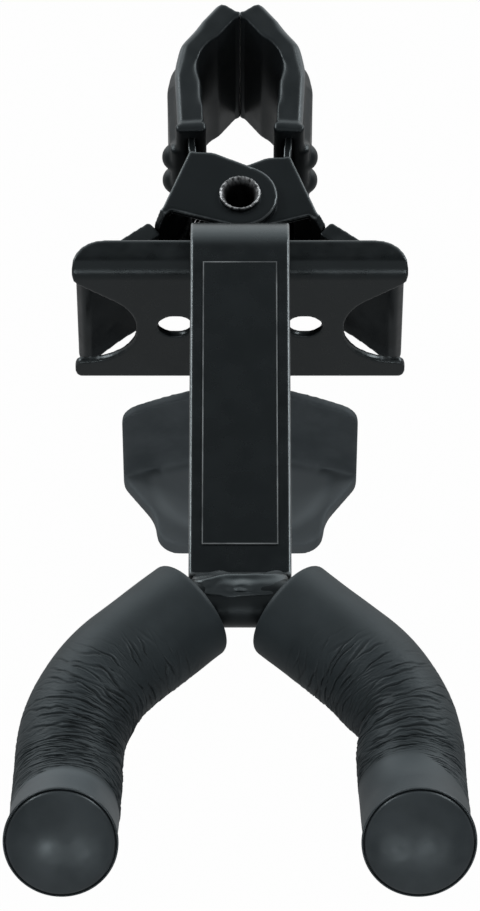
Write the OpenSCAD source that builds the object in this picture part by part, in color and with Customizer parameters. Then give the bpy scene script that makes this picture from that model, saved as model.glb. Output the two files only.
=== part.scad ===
// Clamp-on guitar hanger: a spring clamp that grips a round pole, and a strap that carries a padded yoke.
// The origin is on the pole's axis, halfway up the jaws. +Z is up along the pole, and the yoke points to -Y.

/* [Clamp] */
// Diameter of the pole that the shut jaws hold
pole_d = 22; // [21.6:0.1:22.4]
// Height of the rubber boots on the jaws
boot_h = 44; // [42:1:46]
// Thickness of a boot's wall
boot_t = 6.8; // [6.6:0.1:7]
// Distance from the pole's axis to the pivot's axis
pivot_reach = 43; // [42.5:0.5:43.5]
// Thickness of the pressed steel
sheet_t = 2; // [1.8:0.1:2]
// Height of the grips on the handles
grip_h = 36; // [32:1:38]
// Thickness of a grip, with the steel inside it
grip_t = 5; // [4.6:0.1:5]
// Angle of a shut handle from the crosswise line
handle_angle = 38; // [36:1:38]
// Length of a handle from the foot of the pivot's perpendicular on it
handle_reach = 42.9; // [40:0.1:43]
// Radius of an ear around the pivot
ear_r = 9.6; // [9:0.1:10]

/* [Pivot and spring] */
// Outer diameter of the hollow rivet
rivet_d = 9; // [8:0.5:10]
// Bore of the hollow rivet
rivet_bore = 7.4; // [6:0.2:7.4]
// Thickness of the two lugs that hold the rivet
lug_t = 3; // [2.5:0.5:3]
// Diameter of the spring's wire
wire_d = 2.8; // [2:0.2:2.8]
// Radius of the spring's coil at the middle of the wire
coil_r = 12.6; // [12:0.2:12.6]
// Whole turns of the spring's coil
coil_turns = 5; // [4:1:5]

/* [Strap and bracket] */
// Width of the strap
strap_w = 25; // [22:1:26]
// Thickness of the strap
strap_t = 4; // [3.5:0.5:4]
// Height of the strap's top face above the middle of the jaws
strap_top = 39; // [38:0.5:40]
// Inner radius of the strap's bend
strap_bend_r = 3; // [2.5:0.5:3]
// Radius of the gentle curve on the strap's top before its bend
crown_r = 16; // [14:1:17]
// Length of the bracket
bracket_l = 84.8; // [82:0.2:88]
// Depth of the bracket's top flange
flange_d = 9.6; // [9:0.2:10]
// Height of the bracket
bracket_h = 47; // [45:1:49]
// Outer radius of the bracket's fold
fold_r = 4; // [3.5:0.5:4.5]
// Radius of the upper half of the cutout at each end of the bracket
cutout_r = 15; // [14:0.2:15.2]
// Distance between the bracket's two holes
hole_pitch = 33; // [32:0.5:34]
// Diameter of the bracket's two holes
hole_d = 8.8; // [8:0.2:9]

/* [Yoke] */
// Diameter of the yoke's bar
rod_d = 12.7; // [12:0.1:13]
// Outer diameter of the padded sleeves
sleeve_d = 25.8; // [25:0.2:26]
// Diameter of the end caps
cap_d = 27; // [26.4:0.2:27.6]
// Angle that the bar turns at its root
root_turn = 42; // [40:1:45]
// Straight length of a sleeve before its bend
arm_straight = 21.4; // [19:0.2:23]
// Radius of an arm's bend towards the front
arm_bend_r = 41; // [38:1:44]
// Angle of an arm's bend towards the front
arm_turn = 46; // [44:1:48]
// Radius of an arm's upward bend
lift_r = 36; // [34:1:40]
// Angle of an arm's upward bend
lift_turn = 40; // [36:1:44]
// Straight length at an arm's end
arm_end = 8.4; // [8:0.2:12]

/* [Rest pad] */
// Width of the rest pad
pad_w = 62; // [58:1:64]
// Radius of the hollow in the pad's face
pad_hollow_r = 112; // [104:2:120]
// Depth of the tongue at the pad's foot
tongue_d = 26; // [24:0.5:27]
// Diameter of the pad's screws
screw_d = 4; // [3.5:0.5:4]

/* [Hidden] */
$fn = 64;
gap = 0.3;
slip = 0.05;
pivot = [0, -pivot_reach];

// Heights of the pivot's stack, from the ears inwards
ear_top = boot_h / 2 + 1;
inner_ear_inset = sheet_t + gap;
washer_t = 1;
washer_r = 7.5;
washer_top = ear_top - inner_ear_inset - sheet_t - gap;
lug_top = washer_top - washer_t;
rim_r = 5.4;
rim_t = 1.2;
rim_round = 0.6;

// Middle line of the left half's steel: jaw, ear wall and handle, from behind to front
handle_dir = [-cos(handle_angle), -sin(handle_angle)];
handle_out = [-sin(handle_angle), cos(handle_angle)];
grip_out = 10.6;
grip_in = grip_out - grip_t;
handle_mid = grip_out - grip_t / 2;
jaw_tip = [-4.6, 15.9];
jaw_shoulder = [-12.5, 6];
jaw_side = [-13.7, -0.4];
jaw_front = [-12.6, -22];
ear_rear = pivot + [-12, 14.1];
wall_start = 17.8;
ear_front = pivot + handle_mid * handle_out + wall_start * handle_dir;
handle_tip = pivot + handle_mid * handle_out + (handle_reach - 1.5) * handle_dir;
half_path = [jaw_tip, jaw_shoulder, jaw_side, jaw_front, ear_rear, ear_front, handle_tip];
ear_inner_corner = pivot + [-6.7, 13.7];
jaw_plate_h = boot_h - 6;
handle_h = grip_h - 4;
grip_start = 21.3;
grip_round = 1.8;

// Middle line of the left boot, and its front bead, outer belt and bumps
boot_tip = [-2.6, 19.1];
boot_path = [boot_tip, jaw_shoulder, jaw_side, jaw_front];
boot_radii = [2.4, 8, 14, 0.8, 0.8, 8, 5, 1];
bead_l = 3;
bead_extra = 1.2;
belt_h = 27;
belt_t = 2;
belt_outline = concat([for (i = [1 : 3]) moved(boot_path, i, -boot_t / 2 - belt_t)],
                      [for (i = [3 : -1 : 1]) moved(boot_path, i, 0)]);
belt_radii = [3, 14, 1.2, 0, 0, 0];
bump = [-16.6, -18.4];
bump_r = 3.8;
bump_heights = [6.4, -3.6];

// Strap, bracket and their places along the part
leg_rear = pivot.y - 16.8;
leg_front = leg_rear - strap_t;
leg_bottom = -64;
crown_slope = 30;
crown_l = 6.8;
outer_bend_r = 5;
rod_y = -175.5;
rod_z = strap_top - strap_t / 2;
strap_front = rod_y + rod_d / 2;
bracket_top = strap_top - strap_t - gap;
flange_rear = leg_front - 1.8;
web_front = flange_rear - flange_d;
web_bottom = bracket_top - bracket_h;
hole_z = 10;
cutout_slope = 38.7;
cutout_depth = 15.9;
cutout_floor = -5.7;
cutout_low_r = 13.5;
cutout_corner = 9.3 + cutout_r * tan(45 - cutout_slope / 2);
cutout_mouth = cutout_corner + cutout_depth * tan(cutout_slope);
upper_lip_r = 4.5;
lower_lip_r = 2;
flange_corner_r = 8;
horn_r = 2;
label_size = [18.6, 84.6, 0.3];
label_rear = -75.8;
bead_r = 3.6;
bead_half_l = 11;
bracket_weld_l = 20;
lug_w = 16;
lug_weld = 2.5;
lug_weld_l = 14;

// Yoke
root_half_l = 6.5;
root_r = 7;
arc_steps = 8;
arm_sides = 20;
cap_t = 2;
cap_crown = 3.4;
spigot_l = 6;

// Rest pad
pad_face = -66.5;
pad_foot = -65;
pad_centre_t = leg_front - pad_face;
pad_outline = [[-pad_w / 2, pad_foot], [-pad_w / 2, -37.5], [-11, -33], [11, -33],
               [pad_w / 2, -37.5], [pad_w / 2, pad_foot]];
pad_radii = [0, 5, 22, 22, 5, 0];
tongue_front = pad_face - tongue_d;
tongue_outline = [[-pad_w / 2, pad_face + 2], [-pad_w / 2, pad_face - 5], [-22.5, -83], [-21.4, tongue_front],
                  [21.4, tongue_front], [22.5, -83], [pad_w / 2, pad_face - 5], [pad_w / 2, pad_face + 2]];
tongue_radii = [0, 6, 12, 6, 6, 12, 6, 0];
tongue_t = 5;
step_r = 21;
step_t = 3.5;
screw_heights = [-40, -54];
nut_r = 4;
nut_t = 3.2;
screw_head_r = 3.8;
screw_head_t = 2.4;
screw_seat = pad_face - 0.2;
screw_l = leg_rear - screw_seat + nut_t + 1;
socket_d = 2.6;
socket_depth = 1.2;

// Spring: the ends of its coil and of its two legs, seen from above, and its wire's points
coil_half_h = 11;
leg_knee = 3.4 * handle_out + 17 * handle_dir;
leg_end = 4 * handle_out + 27 * handle_dir;
knee_angle = atan2(leg_knee.y, leg_knee.x) + 360;
coil_start = knee_angle - acos(coil_r / norm(leg_knee));
coil_sweep = coil_turns * 360 + 2 * (coil_start - 90);
rings_per_turn = 8;
wire_sides = 6;
coil_rings = round(coil_sweep / 360 * rings_per_turn);

// Outlines

function unit(v) = v / norm(v);

// Points of the arc of radius r that rounds the corner b between a and c
function corner_arc(a, b, c, r, steps = 6) =
    let (u = unit(a - b),
         v = unit(c - b),
         half = acos(u * v) / 2,
         centre = b + unit(u + v) * r / sin(half),
         p = b + u * r / tan(half) - centre,
         q = b + v * r / tan(half) - centre,
         from = atan2(p.y, p.x),
         sweep = atan2(p.x * q.y - p.y * q.x, p * q))
    [for (i = [0 : steps]) centre + r * [cos(from + sweep * i / steps), sin(from + sweep * i / steps)]];

// A closed outline with each corner rounded by its own radius, where 0 leaves it sharp
function rounded(points, radii, steps = 6) =
    let (n = len(points))
    [for (i = [0 : n - 1])
        each radii[i] == 0 ? [points[i]]
             : corner_arc(points[(i + n - 1) % n], points[i], points[(i + 1) % n], radii[i], steps)];

// The unit normal on the left of the line from a to b
function left_of(a, b) = let (d = unit(b - a)) [-d.y, d.x];

// Point i of a path, moved sideways by t to its left with a mitre
function moved(path, i, t) =
    let (last = len(path) - 1,
         n0 = left_of(path[max(i - 1, 0)], path[max(i, 1)]),
         n1 = left_of(path[min(i, last - 1)], path[min(i + 1, last)]),
         m = unit(n0 + n1))
    path[i] + m * t / (m * n0);

// The outline of a strip of thickness t along points first to last of a path
function strip(path, t, first, last) =
    concat([for (i = [first : last]) moved(path, i, -t / 2)],
           [for (i = [last : -1 : first]) moved(path, i, t / 2)]);

// Where the line from p touches the circle of radius r about the origin; side is 1 or -1
function touch(p, r, side) =
    let (a = atan2(p.y, p.x) + side * acos(r / norm(p)))
    r * [cos(a), sin(a)];

// Bars that follow a path

// Points of a ring of radius r round point i of a path, square to the path
function ring(path, i, r, sides) =
    let (along = unit(path[min(i + 1, len(path) - 1)] - path[max(i - 1, 0)]),
         sideways = unit(cross([0, 0, 1], along)),
         up = cross(along, sideways))
    [for (k = [0 : sides - 1])
        let (a = 360 * k / sides)
        path[i] + r * (cos(a) * sideways + sin(a) * up)];

// Triangles between ring a and ring b of a skin whose rings have this many points
function band(a, b, sides) =
    [for (k = [0 : sides - 1])
        let (k1 = (k + 1) % sides)
        each [[a * sides + k, b * sides + k, a * sides + k1], [a * sides + k1, b * sides + k, b * sides + k1]]];

// A solid round bar along a path
module bar(path, r, sides) {
    last = len(path) - 1;
    points = [for (i = [0 : last]) each ring(path, i, r, sides)];
    walls = [for (i = [0 : last - 1]) each band(i, i + 1, sides)];
    ends = [for (k = [1 : sides - 2])
        each [[0, k, k + 1], [last * sides, last * sides + k + 1, last * sides + k]]];
    polyhedron(points, concat(walls, ends));
}

// A round tube along a path: its skin runs along the outside and back through the bore
module hollow_bar(path, r, bore_r, sides) {
    last = len(path) - 1;
    rings = 2 * last + 2;
    outside = [for (i = [0 : last]) each ring(path, i, r, sides)];
    inside = [for (i = [last : -1 : 0]) each ring(path, i, bore_r, sides)];
    polyhedron(concat(outside, inside), [for (i = [0 : rings - 1]) each band(i, (i + 1) % rings, sides)]);
}

// Clamp, drawn as its left half

module ear_outline() {
    front = moved(half_path, 5, -sheet_t / 2) - pivot;
    rear = moved(half_path, 4, -sheet_t / 2) - pivot;
    inner = ear_inner_corner - pivot;
    translate(pivot) {
        circle(r = ear_r);
        polygon([front, rear, inner, touch(inner, ear_r, -1), [0, 0], touch(front, ear_r, 1)]);
    }
}

// The wall below the ears and the handle, which narrows from the ears' height to the grip's
module wall_and_handle(top) {
    slope = (top - grip_h / 2) / (grip_start - gap - wall_start - 1);
    notch = [[wall_start + 1 - 1 / slope, top + 1], [grip_start - gap, grip_h / 2], [grip_start - gap, handle_h / 2],
             [handle_reach + 1, handle_h / 2], [handle_reach + 1, top + 1]];
    difference() {
        linear_extrude(2 * top, center = true) polygon(strip(half_path, sheet_t, 4, 6));
        for (side = [0, 1])
            mirror([0, 0, side]) translate(pivot) rotate([90, 0, 180 + handle_angle])
                linear_extrude(2 * grip_out) polygon(notch);
    }
}

module clamp_half(inset) {
    top = ear_top - inset;
    difference() {
        union() {
            for (side = [0, 1])
                mirror([0, 0, side])
                    translate([0, 0, top - sheet_t]) linear_extrude(sheet_t) ear_outline();
            wall_and_handle(top);
            linear_extrude(jaw_plate_h, center = true) polygon(strip(half_path, sheet_t, 0, 4));
        }
        translate([pivot.x, pivot.y, -boot_h]) cylinder(d = rivet_d + 2 * slip, h = 2 * boot_h);
    }
}

module boot() {
    bead_path = [jaw_front + bead_l * unit(jaw_side - jaw_front), jaw_front];
    difference() {
        union() {
            linear_extrude(boot_h, center = true) polygon(rounded(strip(boot_path, boot_t, 0, 3), boot_radii));
            linear_extrude(boot_h + bead_extra, center = true)
                polygon(rounded(strip(bead_path, boot_t + bead_extra, 0, 1), [1, 1, 1, 1]));
            linear_extrude(belt_h, center = true) polygon(rounded(belt_outline, belt_radii));
            for (z = bump_heights)
                translate([bump.x, bump.y, z]) sphere(r = bump_r);
        }
        linear_extrude(jaw_plate_h + slip, center = true) polygon(strip(half_path, sheet_t + slip, 0, 4));
        translate([0, 0, -boot_h]) cylinder(d = pole_d, h = 2 * boot_h);
        translate([-gap / 2, 0, -boot_h]) cube(2 * boot_h);
    }
}

module grip() {
    far = pivot + handle_reach * handle_dir;
    near = pivot + grip_start * handle_dir;
    outline = [near + grip_out * handle_out, far + grip_out * handle_out,
               far + grip_in * handle_out, near + grip_in * handle_out];
    difference() {
        linear_extrude(grip_h, center = true) polygon(rounded(outline, [0.8, grip_round, grip_round, 0.8]));
        linear_extrude(handle_h + slip, center = true) polygon(strip(half_path, sheet_t + slip, 5, 6));
    }
}

module left_jaw() {
    color([0.06, 0.06, 0.065]) clamp_half(0);
}

module right_jaw() {
    color([0.06, 0.06, 0.065]) mirror([1, 0, 0]) clamp_half(inner_ear_inset);
}

module left_boot() {
    color([0.13, 0.135, 0.14]) boot();
}

module right_boot() {
    color([0.13, 0.135, 0.14]) mirror([1, 0, 0]) boot();
}

module left_grip() {
    color([0.05, 0.05, 0.055]) grip();
}

module right_grip() {
    color([0.05, 0.05, 0.055]) mirror([1, 0, 0]) grip();
}

// Pivot

module pivot_rivet() {
    foot = ear_top + gap / 2;
    end = foot + rim_t;
    profile = [[rivet_bore / 2, -end], [rim_r - rim_round, -end], [rim_r, rim_round - end], [rim_r, -foot],
               [rivet_d / 2, -foot], [rivet_d / 2, foot], [rim_r, foot], [rim_r, end - rim_round],
               [rim_r - rim_round, end], [rivet_bore / 2 + rim_round, end], [rivet_bore / 2, end - rim_round]];
    color([0.7, 0.7, 0.7]) translate(pivot) rotate_extrude() polygon(profile);
}

module pivot_washers() {
    color([0.8, 0.8, 0.78])
        for (side = [0, 1])
            mirror([0, 0, side]) translate([pivot.x, pivot.y, lug_top])
                difference() {
                    cylinder(r = washer_r, h = washer_t);
                    translate([0, 0, -1]) cylinder(d = rivet_d + slip, h = washer_t + 2);
                }
}

module lug() {
    translate([0, 0, lug_top - lug_t])
        linear_extrude(lug_t) difference() {
            union() {
                translate(pivot) circle(d = lug_w);
                translate([-lug_w / 2, leg_rear]) square([lug_w, pivot.y - leg_rear]);
            }
            translate(pivot) circle(d = rivet_d + slip);
        }
}

module upper_lug() {
    color([0.06, 0.06, 0.065]) lug();
}

module lower_lug() {
    color([0.06, 0.06, 0.065]) mirror([0, 0, 1]) lug();
}

module lug_welds() {
    color([0.1, 0.1, 0.1])
        for (side = [0, 1])
            mirror([0, 0, side]) translate([-lug_weld_l / 2, leg_rear, lug_top])
                rotate([90, 0, 90]) linear_extrude(lug_weld_l) polygon([[0, 0], [lug_weld, 0], [0, lug_weld]]);
}

// The spring's wire runs from the left leg round the coil, downwards, to the right leg
spring_path = concat(
    [for (t = [0, 0.5]) let (p = leg_end + (leg_knee - leg_end) * t) [p.x, p.y, coil_half_h]],
    [[leg_knee.x, leg_knee.y, coil_half_h]],
    [for (i = [0 : coil_rings])
        let (t = i / coil_rings, a = coil_start - coil_sweep * t)
        [coil_r * cos(a), coil_r * sin(a), coil_half_h * (1 - 2 * t)]],
    [[-leg_knee.x, leg_knee.y, -coil_half_h]],
    [for (t = [0.5, 1]) let (p = leg_knee + (leg_end - leg_knee) * t) [-p.x, p.y, -coil_half_h]]);

// The least distance from the wire's surface to itself, between points half a turn or more apart
function wire_self_gap(path) =
    min([for (i = [0 : len(path) - 1], j = [i + rings_per_turn / 2 : 1 : len(path) - 1])
        norm(path[i] - path[j])]) - wire_d;

echo(spring_least_gap = wire_self_gap(spring_path));

module spring() {
    color([0.5, 0.5, 0.5]) translate(pivot) bar(spring_path, wire_d / 2, wire_sides);
}

// Strap and bracket

// Side view of the strap: its top falls gently before the bend, and its leg hangs down behind the bracket
strap_outline = [[strap_front, strap_top], [leg_rear - crown_l, strap_top],
                 [leg_rear, strap_top - crown_l * tan(crown_slope)], [leg_rear, leg_bottom],
                 [leg_front, leg_bottom], [leg_front, strap_top - strap_t], [strap_front, strap_top - strap_t]];
strap_radii = [0, crown_r, outer_bend_r, 0, 0, strap_bend_r, 0];

// Turns an outline in the (y, z) plane into a bar of width w across the part
module across(w) {
    translate([-w / 2, 0, 0]) rotate([90, 0, 90]) linear_extrude(w) children();
}

module strap_bar() {
    across(strap_w) polygon(rounded(strap_outline, strap_radii, 10));
}

module strap() {
    color([0.05, 0.05, 0.055]) difference() {
        strap_bar();
        for (z = screw_heights)
            translate([0, leg_rear + 1, z]) rotate([90, 0, 0]) cylinder(d = screw_d + slip, h = strap_t + 2);
    }
}

module bracket() {
    half_l = bracket_l / 2;
    channel = strip([[flange_rear, bracket_top - sheet_t / 2], [web_front + sheet_t / 2, bracket_top - sheet_t / 2],
                     [web_front + sheet_t / 2, web_bottom]], sheet_t, 0, 2);
    plan = [[-half_l, web_front - 1], [half_l, web_front - 1], [half_l, flange_rear], [-half_l, flange_rear]];
    inner_x = half_l - cutout_depth;
    right_face = [[half_l, web_bottom], [half_l, cutout_floor], [inner_x, cutout_floor],
                  [inner_x, cutout_corner], [half_l, cutout_mouth], [half_l, bracket_top + 1]];
    last = len(right_face) - 1;
    face = concat(right_face, [for (i = [last : -1 : 0]) [-right_face[i].x, right_face[i].y]]);
    face_radii = [horn_r, lower_lip_r, cutout_low_r, cutout_r, upper_lip_r, 0];
    color([0.05, 0.05, 0.055]) difference() {
        intersection() {
            across(bracket_l) polygon(rounded(channel, [0, fold_r, 0, 0, fold_r - sheet_t, 0]));
            translate([0, 0, web_bottom - 1]) linear_extrude(bracket_h + 2)
                polygon(rounded(plan, [0, 0, flange_corner_r, flange_corner_r]));
            translate([0, flange_rear + 1, 0]) rotate([90, 0, 0]) linear_extrude(flange_d + 2)
                polygon(rounded(face, concat(face_radii, [for (i = [last : -1 : 0]) face_radii[i]]), 16));
        }
        for (side = [-1, 1])
            translate([side * hole_pitch / 2, web_front + fold_r, hole_z])
                rotate([90, 0, 0]) cylinder(d = hole_d, h = fold_r + 1);
    }
}

module bracket_weld() {
    color([0.08, 0.08, 0.08]) difference() {
        translate([-bracket_weld_l / 2, flange_rear, bracket_top - sheet_t])
            cube([bracket_weld_l, leg_front - flange_rear, sheet_t]);
        strap_bar();
    }
}

module label_plate() {
    color([0.03, 0.03, 0.035])
        translate([-label_size.x / 2, label_rear - label_size.y, strap_top]) cube(label_size);
}

// Yoke, drawn as its right arm

// Directions along the arm, seen from above, after it has turned by an angle from +X towards the front
function heading(turn) = [cos(turn), -sin(turn)];

// Points of an arc seen from above, from p, that turns the arm from one heading to another
function plan_arc(p, r, from, to) =
    [for (i = [0 : arc_steps])
        let (a = from + (to - from) * i / arc_steps)
        p + r * [sin(a) - sin(from), cos(a) - cos(from)]];

front_turn = root_turn + arm_turn;
root_arc = plan_arc([root_half_l, rod_y], root_r, 0, root_turn);
sleeve_root = root_arc[arc_steps];
arm_arc = plan_arc(sleeve_root + arm_straight * heading(root_turn), arm_bend_r, root_turn, front_turn);
lift_root = arm_arc[arc_steps];
flat_points = concat([sleeve_root], arm_arc);
lift_arc = [for (i = [1 : arc_steps])
    let (a = lift_turn * i / arc_steps, p = lift_root + lift_r * sin(a) * heading(front_turn))
    [p.x, p.y, rod_z + lift_r * (1 - cos(a))]];
end_heading = [heading(front_turn).x * cos(lift_turn), heading(front_turn).y * cos(lift_turn), sin(lift_turn)];
arm_tip = lift_arc[arc_steps - 1] + arm_end * end_heading;
rod_tip = arm_tip - (spigot_l + gap) * end_heading;
arm_bends = concat([for (p = flat_points) [p.x, p.y, rod_z]], lift_arc);
root_bend = [for (i = [0 : arc_steps - 1]) [root_arc[i].x, root_arc[i].y, rod_z]];
half_rod = concat(root_bend, arm_bends, [rod_tip]);
left_rod = [for (i = [len(half_rod) - 1 : -1 : 0]) [-half_rod[i].x, half_rod[i].y, half_rod[i].z]];

module yoke_rod() {
    color([0.05, 0.05, 0.055]) bar(concat(left_rod, half_rod), rod_d / 2, arm_sides);
}

module weld_bead() {
    color([0.08, 0.08, 0.08]) difference() {
        translate([-bead_half_l, strap_front + 0.4, strap_top - 0.8])
            rotate([0, 90, 0]) cylinder(r = bead_r, h = 2 * bead_half_l);
        strap_bar();
        translate([-bead_half_l - 1, rod_y, rod_z]) rotate([0, 90, 0]) cylinder(d = rod_d, h = 2 * bead_half_l + 2);
    }
}

module sleeve() {
    hollow_bar(concat(arm_bends, [arm_tip]), sleeve_d / 2, rod_d / 2 + slip, arm_sides);
}

module end_cap() {
    crown_r = (pow(cap_d / 2, 2) + pow(cap_crown, 2)) / (2 * cap_crown);
    translate(arm_tip) rotate([0, 90 - lift_turn, -front_turn]) {
        translate([0, 0, -spigot_l]) cylinder(d = rod_d - gap, h = spigot_l);
        cylinder(d = cap_d, h = cap_t);
        intersection() {
            translate([0, 0, cap_t + cap_crown - crown_r]) sphere(r = crown_r, $fn = 128);
            translate([0, 0, cap_t / 2]) cylinder(d = cap_d, h = cap_t + cap_crown);
        }
    }
}

module left_sleeve() {
    color([0.14, 0.145, 0.15]) mirror([1, 0, 0]) sleeve();
}

module right_sleeve() {
    color([0.14, 0.145, 0.15]) sleeve();
}

module left_end_cap() {
    color([0.1, 0.1, 0.105]) mirror([1, 0, 0]) end_cap();
}

module right_end_cap() {
    color([0.1, 0.1, 0.105]) end_cap();
}

// Rest pad

module screw_holes(from, to) {
    for (z = screw_heights)
        translate([0, from, z]) rotate([90, 0, 0]) cylinder(d = screw_d + slip, h = from - to);
}

module rest_pad() {
    hollow_y = pad_face - pad_hollow_r;
    color([0.12, 0.125, 0.13]) difference() {
        union() {
            intersection() {
                translate([0, hollow_y, pad_foot - 1]) linear_extrude(pad_w) difference() {
                    circle(r = pad_hollow_r + pad_centre_t);
                    circle(r = pad_hollow_r);
                }
                translate([0, leg_front, 0]) rotate([90, 0, 0]) linear_extrude(tongue_d)
                    polygon(rounded(pad_outline, pad_radii));
            }
            translate([0, 0, pad_foot - tongue_t]) linear_extrude(tongue_t)
                polygon(rounded(tongue_outline, tongue_radii));
            translate([0, pad_face, pad_foot - tongue_t]) linear_extrude(tongue_t + step_t) intersection() {
                circle(r = step_r);
                translate([-step_r, -step_r]) square([2 * step_r, step_r]);
            }
        }
        screw_holes(leg_front + 1, pad_face - 1);
    }
}

module rest_pad_screws() {
    color([0.2, 0.2, 0.2])
        for (z = screw_heights)
            translate([0, screw_seat, z]) rotate([90, 0, 0]) {
                difference() {
                    cylinder(r = screw_head_r, h = screw_head_t);
                    translate([0, 0, screw_head_t - socket_depth]) cylinder(d = socket_d, h = screw_head_t, $fn = 6);
                }
                translate([0, 0, -screw_l]) cylinder(d = screw_d, h = screw_l);
            }
}

module rest_pad_nuts() {
    color([0.6, 0.6, 0.6])
        for (z = screw_heights)
            translate([0, leg_rear + nut_t, z]) rotate([90, 0, 0]) difference() {
                cylinder(r = nut_r, h = nut_t, $fn = 6);
                translate([0, 0, -1]) cylinder(d = screw_d + slip, h = nut_t + 2);
            }
}

strap();
bracket();
bracket_weld();
label_plate();
yoke_rod();
weld_bead();
left_sleeve();
right_sleeve();
left_end_cap();
right_end_cap();
rest_pad();
rest_pad_screws();
rest_pad_nuts();
upper_lug();
lower_lug();
lug_welds();
pivot_rivet();
pivot_washers();
spring();
left_jaw();
left_boot();
left_grip();
right_jaw();
right_boot();
right_grip();
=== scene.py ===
# %% [markdown]
# # A clamp-on guitar hanger
# This hanger grips the upright of a stand with a sprung clamp in rubber boots, and carries a guitar by
# its neck in a padded yoke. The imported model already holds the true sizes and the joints. This lesson
# dresses it: paint, moulded rubber, a wrinkled leatherette skin, welds, and studio light.

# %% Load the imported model
import itertools
import math

import bmesh
import bpy
import numpy as np
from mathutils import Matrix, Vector, noise


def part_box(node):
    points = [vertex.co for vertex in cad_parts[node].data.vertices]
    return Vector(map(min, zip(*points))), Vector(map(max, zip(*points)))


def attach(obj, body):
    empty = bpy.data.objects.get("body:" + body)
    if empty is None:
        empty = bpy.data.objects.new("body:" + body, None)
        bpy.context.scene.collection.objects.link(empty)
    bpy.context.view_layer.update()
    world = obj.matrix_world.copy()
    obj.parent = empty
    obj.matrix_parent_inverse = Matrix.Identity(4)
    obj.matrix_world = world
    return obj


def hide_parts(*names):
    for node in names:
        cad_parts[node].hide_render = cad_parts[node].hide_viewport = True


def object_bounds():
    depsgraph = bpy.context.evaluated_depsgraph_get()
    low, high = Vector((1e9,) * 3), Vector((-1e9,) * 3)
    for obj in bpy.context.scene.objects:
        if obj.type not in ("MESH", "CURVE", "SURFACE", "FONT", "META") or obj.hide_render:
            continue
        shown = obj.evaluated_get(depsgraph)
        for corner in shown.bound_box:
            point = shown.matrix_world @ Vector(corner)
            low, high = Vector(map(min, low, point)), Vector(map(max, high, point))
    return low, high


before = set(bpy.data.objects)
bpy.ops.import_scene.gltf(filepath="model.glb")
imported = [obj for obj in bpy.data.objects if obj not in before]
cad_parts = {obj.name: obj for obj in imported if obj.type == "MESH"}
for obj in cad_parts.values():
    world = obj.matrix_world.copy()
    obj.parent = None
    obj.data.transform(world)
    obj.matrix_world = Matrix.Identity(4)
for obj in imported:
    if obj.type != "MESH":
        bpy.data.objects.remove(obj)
cad_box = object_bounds()
MM = 0.001
scene = bpy.context.scene


def in_scene(name, data):
    """A new object, linked to the scene."""
    thing = bpy.data.objects.new(name, data)
    scene.collection.objects.link(thing)
    return thing


print("nodes in the frame:", len(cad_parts))

# %% [markdown]
# ## Camera
# The picture was taken from in front and well above, with a long lens, so the lines hardly converge.
# The distance, the lens and the height of the view were solved from the strap's known width and from
# how its sides narrow towards the back.

# %% Camera
IMAGE_HEIGHT = 911
FOCAL_PIXELS = 5870
SENSOR = 36
VIEW_ELEVATION = math.radians(56)
VIEW_DISTANCE = 1.45
LOOK_AT = Vector((0, -0.1286, 0.0305))

camera = in_scene("camera", bpy.data.cameras.new("camera"))
camera.data.sensor_fit = "VERTICAL"
camera.data.sensor_height = SENSOR
camera.data.lens = FOCAL_PIXELS / IMAGE_HEIGHT * SENSOR
towards_camera = Vector((0, -math.cos(VIEW_ELEVATION), math.sin(VIEW_ELEVATION)))
camera.location = LOOK_AT + VIEW_DISTANCE * towards_camera
camera.rotation_euler = (math.pi / 2 - VIEW_ELEVATION, 0, 0)
scene.camera = camera
print("lens: %.0f mm" % camera.data.lens)

# %% [markdown]
# ## Node trees
# The room, the finishes and the repeated pieces are all trees of nodes. One small class adds a node, sets it
# and links it in one call, which keeps each recipe short. A finish is such a tree with a shader. It reads
# Object coordinates, so a pattern keeps its real size on every piece.

# %% A tree of nodes
class Tree:
    """A node tree, and short ways to add to it."""

    def __init__(self, tree):
        self.tree = tree

    def add(self, kind, links=None, **settings):
        """A new node. Each of its links is another node's socket, or a plain value."""
        node = self.tree.nodes.new(kind)
        for label, value in settings.items():
            setattr(node, label, value)
        for label, source in (links or {}).items():
            if hasattr(source, "links"):
                self.tree.links.new(source, node.inputs[label])
            else:
                node.inputs[label].default_value = source
        return node

    def calc(self, operation, *values):
        """One step of arithmetic."""
        return self.add("ShaderNodeMath", dict(enumerate(values)), operation=operation).outputs[0]

    def mix(self, factor, a, b):
        """Two colours, mixed by a factor."""
        return self.add("ShaderNodeMix", {"Factor": factor, "A": a, "B": b}, data_type="RGBA").outputs[2]

    def axes(self, vector):
        """The X, Y and Z of a vector."""
        return self.add("ShaderNodeSeparateXYZ", {"Vector": vector}).outputs


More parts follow.
